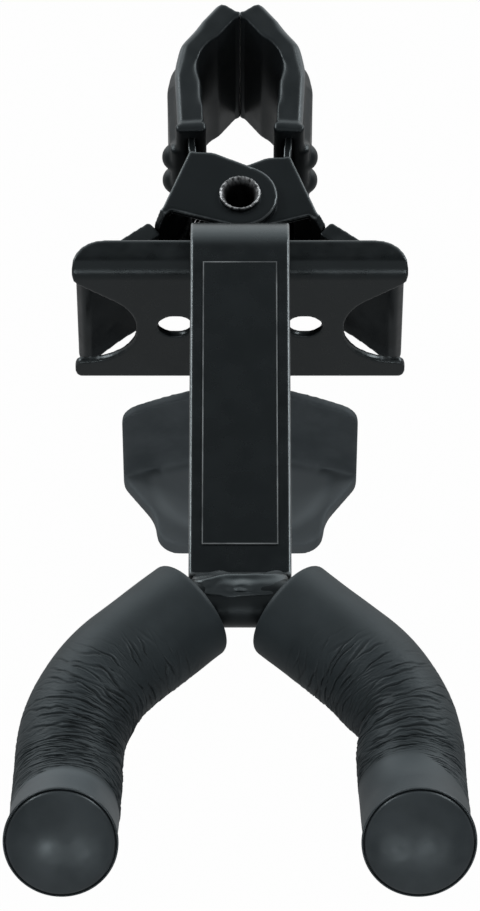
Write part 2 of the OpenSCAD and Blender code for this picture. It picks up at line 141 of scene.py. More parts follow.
# %% A finish under construction
class Finish(Tree):
    """A material, its shader, and short ways to add patterns to it."""

    def __init__(self, name, roughness=0.5, **sockets):
        self.material = bpy.data.materials.new(name)
        self.material.use_nodes = True
        super().__init__(self.material.node_tree)
        self.shader = self.tree.nodes["Principled BSDF"]
        self.shader.inputs["Roughness"].default_value = roughness
        for label, value in sockets.items():
            self.shader.inputs[label.replace("_", " ")].default_value = value
        self.place = self.add("ShaderNodeTexCoord").outputs["Object"]

    def mottle(self, size_mm, detail=3.0, stretch=(1, 1, 1)):
        """Soft noise whose blotches are about this size."""
        sized = self.add("ShaderNodeMapping", {"Vector": self.place, "Scale": Vector(stretch)}).outputs[0]
        links = {"Vector": sized, "Scale": 1 / (size_mm * MM), "Detail": detail}
        return self.add("ShaderNodeTexNoise", links).outputs["Fac"]

    def grain(self, size_mm):
        """Rounded pebbles of about this size."""
        links = {"Vector": self.place, "Scale": 1 / (size_mm * MM)}
        return self.add("ShaderNodeTexVoronoi", links, feature="SMOOTH_F1").outputs["Distance"]

    def between(self, amount, low, high, start=0.35, end=0.65):
        """Two colours or two values, mixed by a pattern."""
        ramp = self.add("ShaderNodeValToRGB", {"Fac": amount})
        for element, position, value in zip(ramp.color_ramp.elements, (start, end), (low, high)):
            element.position = position
            element.color = (*value, 1) if hasattr(value, "__len__") else (value, value, value, 1)
        return ramp.outputs["Color"]

    def stored(self, label):
        """A value that is stored on the points of the piece."""
        return self.add("ShaderNodeAttribute", attribute_name=label).outputs["Fac"]

    def colour(self, source):
        self.tree.links.new(source, self.shader.inputs["Base Color"])

    def gloss(self, source):
        self.tree.links.new(source, self.shader.inputs["Roughness"])

    def relief(self, *layers):
        """Bump layers, each a (height, depth in millimetres, strength)."""
        below = None
        for source, depth_mm, strength in layers:
            links = {"Height": source, "Distance": depth_mm * MM, "Strength": strength}
            if below is not None:
                links["Normal"] = below
            below = self.add("ShaderNodeBump", links).outputs["Normal"]
        self.tree.links.new(below, self.shader.inputs["Normal"])


# %% [markdown]
# ## Light
# Black paint and rubber show little colour of their own: what the eye reads is what they mirror. A glowing
# back wall draws the pale gradient on the strap's bend and a bright line on every rear edge, two strips
# draw the side edges, and two low boxes in front leave the twin glints on the end caps. A wide panel
# overhead lights everything softly. The flat strap mirrors the back wall's dark top, so it stays black.

# %% Lamps
PANEL = {"place": (0.0, -0.75, 1.5), "width": 2.6, "height": 2.2, "watts": 9.2}
BOX = {"place": (0.34, -1.33, 0.37), "width": 0.3, "height": 0.3, "watts": 3.6}
STRIP = {"place": (0.73, 0.49, 0.58), "width": 0.5, "height": 0.3, "watts": 6.0}


def soft_box(name, side, place, width, height, watts):
    """An area lamp that points at the middle of the object."""
    lamp = bpy.data.lights.new(name, "AREA")
    lamp.shape = "RECTANGLE"
    lamp.size = width
    lamp.size_y = height
    lamp.energy = watts
    holder = in_scene(name, lamp)
    holder.location = (side * place[0], place[1], place[2])
    holder.rotation_euler = (LOOK_AT - holder.location).to_track_quat("-Z", "Y").to_euler()


soft_box("overhead_panel", 1, **PANEL)
for side, name in ((-1, "left"), (1, "right")):
    soft_box(name + "_box", side, **BOX)
    soft_box(name + "_strip", side, **STRIP)
print("lamps:", len(bpy.data.lights))

# %% Room
BACK_WALL = ((0.30, 1.9), (0.58, 1.1), (0.77, 0.04))
FRONT_WALL = ((0.10, 0.30), (0.70, 0.12))
BACK_FROM = 0.3
BACK_TO = 0.75
ROOM_TINT = (0.93, 0.985, 1.0)

scene.view_settings.view_transform = "Standard"
scene.world = bpy.data.worlds.new("studio room")
scene.world.use_nodes = True
room = Tree(scene.world.node_tree)
heading = room.axes(room.add("ShaderNodeTexCoord").outputs["Generated"])


def wall_glow(stops):
    """Brightness by height, from (height, level) stops."""
    ramp = room.add("ShaderNodeValToRGB", {"Fac": heading["Z"]})
    while len(ramp.color_ramp.elements) < len(stops):
        ramp.color_ramp.elements.new(0.5)
    for element, (position, level) in zip(ramp.color_ramp.elements, stops):
        element.position = position
        element.color = (*(level * tint for tint in ROOM_TINT), 1)
    return ramp.outputs["Color"]


back_range = {"Value": heading["Y"], "From Min": BACK_FROM, "From Max": BACK_TO}
behind = room.add("ShaderNodeMapRange", back_range, interpolation_type="SMOOTHSTEP").outputs[0]
walls = room.mix(behind, wall_glow(FRONT_WALL), wall_glow(BACK_WALL))
room.tree.links.new(walls, room.tree.nodes["Background"].inputs["Color"])
print("the back wall's stops, by height:", BACK_WALL)

# %% Floor
FLOOR_DROP = 0.12
FLOOR_HALF = 2.5
PAPER_WHITE = 0.25
PAPER_ROUGH = 0.9
KEPT_WHITE = 0.985
MIRRORED_FRONT = 0.2
MIRRORED_BACK = 1.0
MIRROR_FROM = 0.15
MIRROR_TO = 0.6


def white_paper():
    """Matt paper that the camera sees as white, and that shiny pieces mirror as paler towards the back."""
    tone = (PAPER_WHITE, PAPER_WHITE, PAPER_WHITE, 1)
    paper = Finish("white paper", PAPER_ROUGH, Base_Color=tone, Specular_IOR_Level=0.0)
    rays = paper.add("ShaderNodeLightPath").outputs
    fade = {"Value": paper.axes(paper.place)["Y"], "From Min": MIRROR_FROM, "From Max": MIRROR_TO,
            "To Min": MIRRORED_FRONT, "To Max": MIRRORED_BACK}
    mirrored = paper.calc("MAXIMUM", rays["Is Glossy Ray"], rays["Is Transmission Ray"])
    dimmed = paper.calc("MULTIPLY", mirrored, paper.add("ShaderNodeMapRange", fade).outputs[0])
    share = paper.calc("MULTIPLY_ADD", rays["Is Camera Ray"], KEPT_WHITE, dimmed)
    glow = paper.add("ShaderNodeEmission").outputs[0]
    blend = paper.add("ShaderNodeMixShader", {0: share, 1: paper.shader.outputs[0], 2: glow}).outputs[0]
    paper.tree.links.new(blend, paper.tree.nodes["Material Output"].inputs["Surface"])
    return paper.material


floor_mesh = bpy.data.meshes.new("floor")
floor_z = cad_box[0].z - FLOOR_DROP
corners = ((-1, -1), (1, -1), (1, 1), (-1, 1))
floor_mesh.from_pydata([(x * FLOOR_HALF, y * FLOOR_HALF, floor_z) for x, y in corners], [], [(0, 1, 2, 3)])
floor_mesh.materials.append(white_paper())
floor = in_scene("floor", floor_mesh)
print("floor at %.0f mm" % (floor_z / MM))

# %% [markdown]
# ## Finishes
# The steel is sprayed black, the rubber is moulded or dipped, and only the eyelet, the spring and the screws
# show bare metal. Each kind of finish is one function, and each piece calls it with its own tones.

# %% Black powder coat
COOL = (0.82, 0.95, 1.0, 1)
# The pale tone of the painted highlight on sharp edges, and the pointiness where it starts.
EDGE_HIGHLIGHT_TONE = (0.27, 0.293, 0.302, 1)
EDGE_HIGHLIGHT_POINTINESS = (0.52, 0.56)


def powder_coat(name, tones, rough, peel, shine=0.45, edge_highlight=None):
    """Sprayed black paint with a faint orange peel, uneven sheen, and a painted highlight: edges coloured
    pale in places.
    """
    paint = Finish(name, Specular_IOR_Level=shine, Specular_Tint=COOL)
    base = paint.between(paint.mottle(14, 4), *tones)
    # Painted highlight: sharp edges, found by pointiness, are coloured pale in patches, standing in for
    # glints of the lamps.
    if edge_highlight:
        points = paint.add("ShaderNodeNewGeometry").outputs["Pointiness"]
        edge = paint.between(points, 0, 1, *EDGE_HIGHLIGHT_POINTINESS)
        share = paint.between(paint.mottle(4, 3), *edge_highlight)
        base = paint.mix(paint.calc("MULTIPLY", edge, share), base, EDGE_HIGHLIGHT_TONE)
    paint.colour(base)
    paint.gloss(paint.between(paint.mottle(5, 5), *rough))
    paint.relief((paint.mottle(1.4, 1), 0.02, peel))
    return paint


# %% Paint inside a folded piece
WALL_ROUGH, TOP_ROUGH = 0.9, 0.26
WALL_SHINE, TOP_SHINE = 0.03, 0.5
WALL_TO_TOP = (0.05, 0.2)


def dull_walls(paint):
    """Spray hardly reaches the upright walls inside a folded piece, so the paint there is thin and dull."""
    normal = paint.add("ShaderNodeNewGeometry").outputs["Normal"]
    level = paint.calc("ABSOLUTE", paint.axes(normal)["Z"])
    paint.gloss(paint.between(level, WALL_ROUGH, TOP_ROUGH, *WALL_TO_TOP))
    shine = paint.between(level, WALL_SHINE, TOP_SHINE, *WALL_TO_TOP)
    paint.tree.links.new(shine, paint.shader.inputs["Specular IOR Level"])
    return paint


# %% Paints
STRAP_TONES = ((0.0036, 0.0045, 0.0050), (0.0056, 0.0069, 0.0077))
BRACKET_TONES = ((0.0022, 0.0027, 0.0030), (0.0034, 0.0042, 0.0047))
BAR_TONES = ((0.0035, 0.0044, 0.0048), (0.0058, 0.0071, 0.0079))
# The weld's tones are the black paint made paler: painted light, for the light that its lumps catch.
WELD_LIT_TONES = ((0.0065, 0.0080, 0.0088), (0.0105, 0.0128, 0.0141))

strap_paint = powder_coat("strap paint", STRAP_TONES, rough=(0.24, 0.28), peel=0.06, edge_highlight=(0.5, 1.0))
bracket_paint = powder_coat("bracket paint", BRACKET_TONES, rough=(0.26, 0.34), peel=0.1, shine=0.35,
                            edge_highlight=(0.0, 0.15))
jaw_paint = powder_coat("jaw paint", STRAP_TONES, rough=(0.22, 0.30), peel=0.2, edge_highlight=(-0.5, 0.5))
strap_black = strap_paint.material
bracket_black = bracket_paint.material
jaw_black = dull_walls(jaw_paint).material
bar_black = powder_coat("bar paint", BAR_TONES, rough=(0.28, 0.40), peel=0.35, shine=0.2).material
weld_lit_black = powder_coat("weld paint", WELD_LIT_TONES, rough=(0.26, 0.38), peel=0.2, shine=0.5).material
print("paints:", [paint.name for paint in (strap_black, bracket_black, jaw_black, bar_black, weld_lit_black)])

# %% Rubber and vinyl
BOOT_TONES = ((0.0047, 0.0059, 0.0066), (0.0070, 0.0085, 0.0096))
# A painted sheen: the paler tone on the boots' rounded outer edges.
BOOT_SHEEN_TONE = (0.085, 0.094, 0.099, 1)
PAD_TONES = ((0.032, 0.0378, 0.0417), (0.046, 0.0531, 0.0582))
# Painted light: the paler tone of the pad's upward-facing tongue.
PAD_LIT_TONE = (0.098, 0.111, 0.119, 1)
CAP_TONES = ((0.0175, 0.0212, 0.0234), (0.0265, 0.0315, 0.0347))
VINYL_TONES = ((0.0045, 0.0055, 0.006), (0.008, 0.0095, 0.0105))


def moulded_rubber(name, tones, rough, grain_mm, depth_mm, wear_and_painted_light=None):
    """Moulded rubber: a fine grain from the tool, cloudy bloom, and a paler colour where a stored share asks
    for it: painted sheen on the boots' outer edges, painted light on the pad's tongue.
    """
    rubber = Finish(name, Specular_IOR_Level=0.3, Specular_Tint=COOL)
    base = rubber.between(rubber.mottle(9, 5), *tones)
    # A paler tone where the stored share says so: painted sheen on the boots, painted light on the pad.
    if wear_and_painted_light:
        base = rubber.mix(rubber.stored("wear_and_painted_light"), base, wear_and_painted_light)
    rubber.colour(base)
    rubber.gloss(rubber.between(rubber.mottle(6, 3), *rough))
    rubber.relief((rubber.grain(grain_mm), depth_mm, 0.35), (rubber.mottle(3.5, 2), 0.05, 0.2))
    return rubber.material


boot_rubber = moulded_rubber("boot rubber", BOOT_TONES, rough=(0.35, 0.43), grain_mm=0.3, depth_mm=0.01,
                             wear_and_painted_light=BOOT_SHEEN_TONE)
pad_rubber = moulded_rubber("pad rubber", PAD_TONES, rough=(0.60, 0.75), grain_mm=0.35, depth_mm=0.03,
                            wear_and_painted_light=PAD_LIT_TONE)
cap_rubber = moulded_rubber("cap rubber", CAP_TONES, rough=(0.30, 0.50), grain_mm=0.25, depth_mm=0.01)
grip_vinyl = moulded_rubber("grip vinyl", VINYL_TONES, rough=(0.28, 0.40), grain_mm=0.5, depth_mm=0.02)
print("rubber and vinyl:", [rubber.name for rubber in (boot_rubber, pad_rubber, cap_rubber, grip_vinyl)])

# %% Metals and nylon
BORE_DARK_TONE = (0.05, 0.05, 0.052, 1)
CRIMPED_TONES = ((0.05, 0.052, 0.054), (0.50, 0.51, 0.52))
SPRING_TONES = ((0.05, 0.05, 0.05), (0.12, 0.12, 0.125))
SCREW_TONES = ((0.03, 0.03, 0.03), (0.07, 0.07, 0.07))
NYLON_TONES = ((0.55, 0.54, 0.50), (0.68, 0.67, 0.63))


def bare_metal(name, tones, rough, streak_mm):
    """Unpainted metal with streaks along Z, dull patches, and a dark tone where a stored share asks for it.
    """
    metal = Finish(name, Metallic=1.0)
    streaks = metal.mottle(streak_mm, 4, stretch=(1, 1, 0.2))
    metal.colour(metal.mix(metal.stored("bore_dark"), metal.between(streaks, *tones), BORE_DARK_TONE))
    metal.gloss(metal.between(metal.mottle(1.5, 3), *rough))
    metal.relief((streaks, 0.02, 0.3))
    return metal.material


def natural_nylon():
    """Milky turned nylon."""
    milky = Finish("natural nylon", 0.45, Subsurface_Weight=0.2)
    milky.colour(milky.between(milky.mottle(3), *NYLON_TONES))
    milky.relief((milky.mottle(0.4), 0.01, 0.3))
    return milky.material


bright_steel = bare_metal("crimped steel", CRIMPED_TONES, rough=(0.34, 0.55), streak_mm=0.7)
spring_steel = bare_metal("spring steel", SPRING_TONES, rough=(0.26, 0.38), streak_mm=0.7)
black_steel = bare_metal("blackened steel", SCREW_TONES, rough=(0.30, 0.45), streak_mm=0.8)
nylon = natural_nylon()
print("metals and nylon:", [bare.name for bare in (bright_steel, spring_steel, black_steel, nylon)])

# %% [markdown]
# ## Painted steel
# The strap, the bracket and the two halves of the clamp are pressings, and a pressing never has knife edges:
# on black paint each soft edge shows as a thin bright line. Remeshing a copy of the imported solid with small
# voxels and letting it relax for a few steps rounds all its edges at once, inside corners too. The hidden
# lugs only need a small bevel.

# %% Finished pieces
def new_piece(name, mesh, material):
    """A new object at the origin, smooth and with one finish."""
    mesh.materials.clear()
    mesh.materials.append(material)
    mesh.polygons.foreach_set("use_smooth", [True] * len(mesh.polygons))
    return in_scene(name, mesh)


def finish_piece(piece, body, slot, *nodes):
    """Ties a piece to its body and hides the nodes that it stands for. The slot is not used."""
    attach(piece, body)
    if nodes:
        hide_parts(*nodes)
    print("%s: %d faces" % (piece.name, len(piece.data.polygons)))


# %% Rounded copies
JOIN = 0.002 * MM


def plain_mesh(source):
    """What an object's modifiers make of it, as a plain mesh. The object itself goes."""
    mesh = bpy.data.meshes.new_from_object(source.evaluated_get(bpy.context.evaluated_depsgraph_get()))
    bpy.data.objects.remove(source)
    return mesh


def softened(source, voxel_mm, steps):
    """An object's mesh as one skin of small voxels, relaxed for some steps."""
    remesh = source.modifiers.new("voxels", "REMESH")
    remesh.mode = "VOXEL"
    remesh.voxel_size = voxel_mm * MM
    relax = source.modifiers.new("relax", "SMOOTH")
    relax.factor = 0.5
    relax.iterations = steps
    return plain_mesh(source)


def relaxed_copy(node, voxel_mm, steps):
    """A remeshed copy of a node's mesh with softened edges."""
    copy = in_scene(node + " copy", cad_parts[node].data.copy())
    join = copy.modifiers.new("join", "WELD")
    join.merge_threshold = JOIN
    return softened(copy, voxel_mm, steps)


# %% Pressings
for node, body, paint, voxel_mm, steps in (
        ("strap", "frame", strap_black, 0.42, 5), ("bracket", "frame", bracket_black, 0.40, 7),
        ("left_jaw", "left_half", jaw_black, 0.38, 6), ("right_jaw", "right_half", jaw_black, 0.38, 6)):
    pressing = new_piece(node + "_steel", relaxed_copy(node, voxel_mm, steps), paint)
    finish_piece(pressing, body, "black_steel", node)


# %% Plain nodes
def dress(node, material, edge_mm):
    """Gives a node of the frame a finish and softens its edges. Without an edge it stays flat."""
    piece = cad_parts[node]
    piece.data.materials.clear()
    piece.data.materials.append(material)
    piece.data.polygons.foreach_set("use_smooth", [edge_mm > 0] * len(piece.data.polygons))
    join = piece.modifiers.new("join triangles", "WELD")
    join.merge_threshold = JOIN
    if edge_mm:
        bevel = piece.modifiers.new("soft edges", "BEVEL")
        bevel.width = edge_mm * MM
        bevel.segments = 3
        bevel.limit_method = "ANGLE"
        bevel.angle_limit = math.radians(40)
        bevel.harden_normals = True
    print(node, "dressed")


for node, material, edge_mm in (("upper_lug", strap_black, 0.5), ("lower_lug", strap_black, 0.5),
                                ("pivot_washers", nylon, 0.2)):
    dress(node, material, edge_mm)

# %% [markdown]
# ## Label
# A thin film lies on the strap: a satin black field with a hairline border. The border is drawn from Object
# coordinates, by how near a point is to the film's own edge.

# %% Label film
BORDER_MM = 0.28
FIELD_TONES = ((0.0040, 0.0050, 0.0055), (0.0047, 0.0058, 0.0065))
BORDER_TONES = ((0.06, 0.064, 0.066), (0.16, 0.17, 0.175))

label_low, label_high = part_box("label_plate")
label_middle = (label_low + label_high) / 2
label_half = (label_high - label_low) / 2


def label_film():
    """Satin film with a hairline border."""
    film = Finish("label film", Specular_IOR_Level=0.45, Specular_Tint=COOL)
    centred = film.add("ShaderNodeMapping", {"Vector": film.place, "Location": -label_middle}).outputs[0]
    spot = film.axes(centred)
    at_edge = [film.calc("GREATER_THAN", film.calc("ABSOLUTE", spot[axis]), half - BORDER_MM * MM)
               for axis, half in (("X", label_half.x), ("Y", label_half.y))]
    field = film.between(film.mottle(12, 4), *FIELD_TONES)
    border = film.between(film.mottle(9, 2), *BORDER_TONES)
    film.colour(film.mix(film.calc("MAXIMUM", *at_edge), field, border))
    film.gloss(film.between(film.mottle(7, 4), 0.26, 0.29))
    film.relief((film.mottle(2.2, 1), 0.02, 0.05))
    return film.material


dress("label_plate", label_film(), 0)
print("label %.0f by %.0f mm" % (2 * label_half.x / MM, 2 * label_half.y / MM))

# %% [markdown]
# ## The yoke's line
# Each arm leaves the middle of the yoke at a slant, swings round to the front and then lifts. Its yaw and
# pitch change at a steady rate along each bend, so adding up short steps in the heading gives the line.

# %% Line of an arm
ROD_R = 6.35
ROD_Y = -175.5
ROD_Z = 37.0
ROOT_HALF = 6.5
ROOT_R = 7.0
ROOT_TURN = math.radians(42)
ARM_STRAIGHT = 21.4
ARM_R = 41.0
ARM_TURN = math.radians(46)
LIFT_R = 36.0
LIFT_TURN = math.radians(40)
ARM_END = 8.4
STEP = 0.05

arm_l = ARM_R * ARM_TURN
lift_l = LIFT_R * LIFT_TURN
sleeve_l = ARM_STRAIGHT + arm_l + lift_l + ARM_END
stations = np.cumsum([0, ROOT_HALF, ROOT_R * ROOT_TURN, ARM_STRAIGHT, arm_l, lift_l, ARM_END])
sleeve_start = stations[2]
root_done = np.array([0, 0, 1, 1, 1, 1, 1])
arm_done = np.array([0, 0, 0, 0, 1, 1, 1])
lift_done = np.array([0, 0, 0, 0, 0, 1, 1])
fine = np.arange(0, stations[-1] + STEP, STEP)
yaws = np.interp(fine, stations, root_done * ROOT_TURN + arm_done * ARM_TURN)
pitches = np.interp(fine, stations, lift_done * LIFT_TURN)
headings = np.stack([np.cos(yaws) * np.cos(pitches), -np.sin(yaws) * np.cos(pitches), np.sin(pitches)], 1)
middles = (headings[1:] + headings[:-1]) / 2 * STEP
line = np.vstack([[0, 0, 0], np.cumsum(middles, 0)]) + np.array([0, ROD_Y, ROD_Z])


def unit(rows):
    """Rows of vectors, each made one long."""
    return rows / np.linalg.norm(rows, axis=1)[:, None]


def along_arm(distances):
    """Points on the right arm, and its ahead, outward and upward directions, at distances in millimetres."""
    points = np.stack([np.interp(distances, fine, line[:, k]) for k in range(3)], 1)
    ahead = unit(np.stack([np.interp(distances, fine, headings[:, k]) for k in range(3)], 1))
    outward = unit(np.cross([0, 0, 1.0], ahead))
    return points, ahead, outward, np.cross(ahead, outward)


print("arm line ends at", line[-1].round(1))

# %% [markdown]
# ## Bars that follow a line
# The yoke's bar and the spring's wire are both round stock bent along a line. A Geometry Nodes tree
# sweeps a circle along a curve, with the radius and the number of sides as inputs, and the result is
# turned into a plain mesh.

# %% Trees that make meshes
def tree_with(title, **inputs):
    """An empty tree with named inputs, and the sockets that they come in by."""
    group = bpy.data.node_groups.new(title, "GeometryNodeTree")
    for label, kind in {"Geometry": "Geometry", **inputs}.items():
        group.interface.new_socket(label, in_out="INPUT", socket_type="NodeSocket" + kind)
    group.interface.new_socket("Geometry", in_out="OUTPUT", socket_type="NodeSocketGeometry")
    tree = Tree(group)
    return tree, tree.add("NodeGroupInput").outputs


def coated(tree, geometry, material):
    """Ends a tree: the geometry gets its material and goes out."""
    coat = tree.add("GeometryNodeSetMaterial", {"Geometry": geometry, "Material": material})
    tree.add("NodeGroupOutput", {"Geometry": coat.outputs["Geometry"]})
    return tree.tree


def run_tree(source, group, **values):
    """Runs a tree on an object and returns its result as a plain mesh."""
    modifier = source.modifiers.new(group.name, "NODES")
    modifier.node_group = group
    for item in group.interface.items_tree:
        if item.in_out == "INPUT" and item.name in values:
            modifier[item.identifier] = values[item.name]
    return plain_mesh(source)


# %% Tree for a bent bar
def bent_bar_tree():
    tree, given = tree_with("bent bar", Radius="Float", Sides="Int", Material="Material")
    outline = {"Resolution": given["Sides"], "Radius": given["Radius"]}
    circle = tree.add("GeometryNodeCurvePrimitiveCircle", outline).outputs["Curve"]
    path = {"Curve": given["Geometry"], "Profile Curve": circle, "Fill Caps": True}
    return coated(tree, tree.add("GeometryNodeCurveToMesh", path).outputs["Mesh"], given["Material"])


bent_bar = bent_bar_tree()


def line_through(name, places_mm):
    """A curve of straight stretches through points in millimetres."""
    curve = bpy.data.curves.new(name, "CURVE")
    curve.dimensions = "3D"
    spline = curve.splines.new("POLY")
    spline.points.add(len(places_mm) - 1)
    for point, place in zip(spline.points, places_mm):
        point.co = (*(np.asarray(place) * MM), 1)
    return in_scene(name + " line", curve)


def closed_outwards(mesh, merge=True):
    """Merges doubled points, closes poles and turns all faces outwards."""
    shell = bmesh.new()
    shell.from_mesh(mesh)
    if merge:
        bmesh.ops.remove_doubles(shell, verts=shell.verts, dist=0.001 * MM)
        bmesh.ops.dissolve_degenerate(shell, edges=shell.edges, dist=0.001 * MM)
    bmesh.ops.recalc_face_normals(shell, faces=shell.faces)
    shell.to_mesh(mesh)
    shell.free()
    return mesh


def bar_along(name, points_mm, radius_mm, sides, material):
    """A round bar along points in millimetres."""
    source = line_through(name, points_mm)
    mesh = run_tree(source, bent_bar, Radius=radius_mm * MM, Sides=sides, Material=material)
    return new_piece(name, closed_outwards(mesh), material)


# %% Yoke bar
BAR_STEP = 1.2
BAR_SHORT = 6.3
BAR_SIDES = 48

arm_points = line[:: int(BAR_STEP / STEP)]
arm_points = arm_points[: -int(BAR_SHORT / BAR_STEP)]
other_arm = arm_points[:0:-1] * np.array([-1, 1, 1])
yoke_bar = bar_along("yoke_bar", np.vstack([other_arm, arm_points]), ROD_R, BAR_SIDES, bar_black)
finish_piece(yoke_bar, "frame", "black_steel", "yoke_rod")

# %% [markdown]
# ## Padded sleeves
# Foam tubes in a leatherette skin cover the arms. Bending them has crowded the skin into creases that run
# across the arm, deepest inside the bend, while both ends stay smooth. Cloth that fine would need far more
# points than a simulation can carry, so the creases are worked out: they follow the borders of long, narrow
# cells that lie across the arm, as the cracks of worn leather do.

# %% Borders of long cells
SLEEVE_R = 12.9
LATTICE = (96, 16, 16)
FAR = 9.0


def smooth_step(low, high, value):
    """Rises from 0 at low to 1 at high, with soft ends."""
    t = np.clip((value - low) / (high - low), 0, 1)
    return t * t * (3 - 2 * t)


def noise_over(along, angle, along_size, around_count, seed):
    """Smooth noise on the sleeve, joined up round the arm."""
    x = along / along_size + seed * 17.3
    y = around_count * np.cos(angle) + seed * 5.1
    z = around_count * np.sin(angle) - seed * 3.7
    flat = zip(x.ravel(), y.ravel(), z.ravel())
    return np.fromiter((noise.noise(Vector(p)) for p in flat), float).reshape(x.shape)


def unrolled(along, angle):
    """The skin's points on a straight sleeve."""
    return np.stack(np.broadcast_arrays(along, SLEEVE_R * np.cos(angle), SLEEVE_R * np.sin(angle)), -1)


def cell_borders(along, angle, cell_along, cell_around, seed):
    """How far each point is from a border, in millimetres, and how squarely that border crosses the arm."""
    spot = unrolled(along, angle) / np.array([cell_along, cell_around, cell_around])
    home = np.floor(spot).astype(int)
    scatter = np.random.default_rng(seed).random((*LATTICE, 3))
    centres = []
    for step in itertools.product((-1, 0, 1), repeat=3):
        cell = home + np.array(step)
        jitter = scatter[tuple(cell[..., k] % LATTICE[k] for k in range(3))]
        centres.append(cell + jitter - spot)
    centres = np.stack(centres)
    nearest = (centres ** 2).sum(-1).argmin(0)
    own = np.take_along_axis(centres, nearest[None, ..., None], 0)[0]
    gap = np.full(along.shape, FAR)
    square = np.zeros(along.shape)
    for other in centres:
        apart = other - own
        reach = np.linalg.norm(apart, axis=-1)
        reach[reach < 1e-9] = np.inf
        distance = np.where(np.isinf(reach), FAR, ((own + other) / 2 * apart).sum(-1) / reach)
        square = np.where(distance < gap, np.abs(apart[..., 0]) / reach, square)
        gap = np.minimum(gap, distance)
    return gap * cell_along, square


# %% Creases of a sleeve
CRACKS = {"along": 2.5, "around": 8.5, "width": 0.21, "depth": 0.42, "outer_share": 0.35, "seed": 6,
          "starts": 26, "lead": 13, "fade": 7}
RINGS = {"along": 1.15, "around": 7.0, "width": 0.14, "depth": 0.20, "outer_share": 0.85, "seed": 5,
         "starts": 44, "lead": 14, "fade": 8}
WANDER = {"size": 1.3, "along": 8, "around": 1.4}
RAGGED = {"size": 0.55, "along": 2.0, "around": 5.0}
CUFF_RAGGED = {"size": 0.8, "along": 30, "around": 1.5}
SWELL = {"size": 0.15, "along": 10, "around": 0.9}
PATCHES = {"size": 1, "along": 5, "around": 1.6}


def uneven(along, angle, kind, seed):
    """Noise of one kind on the sleeve."""
    return kind["size"] * noise_over(along, angle, kind["along"], kind["around"], seed)


def creases_on(along, angle, arm):
    """How far the skin moves out in millimetres, how dark each crease is painted as shade, and where the skin
    gets its net of wear.
    """
    seed = arm["seed"]
    inner = -np.cos(angle)
    drift = uneven(along, angle, WANDER, seed) + uneven(along, angle, RAGGED, seed + 1)
    slant = arm["cuff_slant"] * np.clip(-inner, 0, 1)
    cuff_at = arm["cuff"] + slant + uneven(along, angle, CUFF_RAGGED, seed + 2)
    before_cuff = 1 - smooth_step(cuff_at - 1.0, cuff_at + 1.0, along)
    height = uneven(along, angle, SWELL, seed + 7)
    dark = np.zeros_like(along)
    wear_and_painted_light = np.zeros_like(along)
    for kind in (CRACKS, RINGS):
        zone = smooth_step(-kind["fade"], kind["fade"], along - kind["starts"] + kind["lead"] * inner)
        gap, square = cell_borders(along + drift, angle, kind["along"], kind["around"], seed + kind["seed"])
        patchy = smooth_step(-0.4, 0.1, uneven(along, angle, PATCHES, seed + 5 + kind["seed"]))
        share = 1 + (kind["outer_share"] - 1) * (0.5 - 0.5 * inner)
        strength = zone * before_cuff * share * (0.25 + 0.75 * patchy) * smooth_step(0.3, 0.8, square)
        groove = np.exp(-((gap / kind["width"]) ** 2))
        lip = np.exp(-(((gap - 2.3 * kind["width"]) / (1.3 * kind["width"])) ** 2))
        height += kind["depth"] * strength * (0.5 * lip - groove)
        # Painted shade: the bottom of each groove is also darkened in colour.
        dark = np.maximum(dark, groove * strength)
        wear_and_painted_light = np.maximum(wear_and_painted_light, zone * before_cuff)
    return height, dark, wear_and_painted_light


# %% A fold inside the bend
FOLD_BLUNT = 56.0
FOLD_DEPTH = 0.5
FOLD_HALF = 0.6
FOLD_DARK_HALF = 0.5


def buckle(along, angle, place, reach):
    """A sharp fold: the skin runs straight into a corner instead of round the curve."""
    inside = np.clip(-np.cos(angle), 0, 1) ** 1.5
    off = np.abs(along - place)
    corner = np.clip(reach - off, 0, None) ** 2 / FOLD_BLUNT
    height = -inside * (corner + FOLD_DEPTH * np.exp(-((off / FOLD_HALF) ** 2)))
    # The second value marks the fold's line, which is darkened as painted shade.
    return height, inside * np.exp(-((off / FOLD_DARK_HALF) ** 2))


# %% Skin of a sleeve
SLEEVE_END_ROUND = 1.5
END_ROWS = 7
SMOOTH_ROWS = 12
CREASED_ROWS = 560
BORE_ROWS = 40
SKIN_AROUND = 150
CREASED_FROM = 9.0
CREASED_TO = 80.0
CALM_ENDS = 4


def ring_skin(name, rings, loop=False):
    """A mesh over rows of rings in metres, (rows, points, 3). A loop joins the last row to the first."""
    rows, around = rings.shape[:2]
    faces = []
    for i in range(rows if loop else rows - 1):
        a = i * around
        b = (i + 1) % rows * around
        for k in range(around):
            n = (k + 1) % around
            faces.append((a + k, a + n, b + n, b + k))
    mesh = bpy.data.meshes.new(name)
    mesh.from_pydata(rings.reshape(-1, 3).tolist(), [], faces)
    return mesh


def store(mesh, label, values):
    """Stores a value on each point, for a finish to read."""
    shade = mesh.attributes.new(label, "FLOAT", "POINT")
    shade.data.foreach_set("value", np.ravel(values).astype(np.float32))


def sleeve_rows():
    """Distances along the sleeve and radii there, with both cut ends rounded over to the bar."""
    turn = np.linspace(0, math.pi / 2, END_ROWS)
    edge = SLEEVE_END_ROUND * (1 - np.cos(turn))
    rim = SLEEVE_R - SLEEVE_END_ROUND * (1 - np.sin(turn))
    body = np.concatenate([np.linspace(SLEEVE_END_ROUND, CREASED_FROM, SMOOTH_ROWS)[1:-1],
                           np.linspace(CREASED_FROM, CREASED_TO, CREASED_ROWS)[:-1],
                           np.linspace(CREASED_TO, sleeve_l - SLEEVE_END_ROUND, SMOOTH_ROWS)[:-1]])
    along = np.concatenate([[0], edge, body, sleeve_l - edge[::-1], [sleeve_l]])
    return along, np.concatenate([[ROD_R], rim, np.full(len(body), SLEEVE_R), rim[::-1], [ROD_R]])


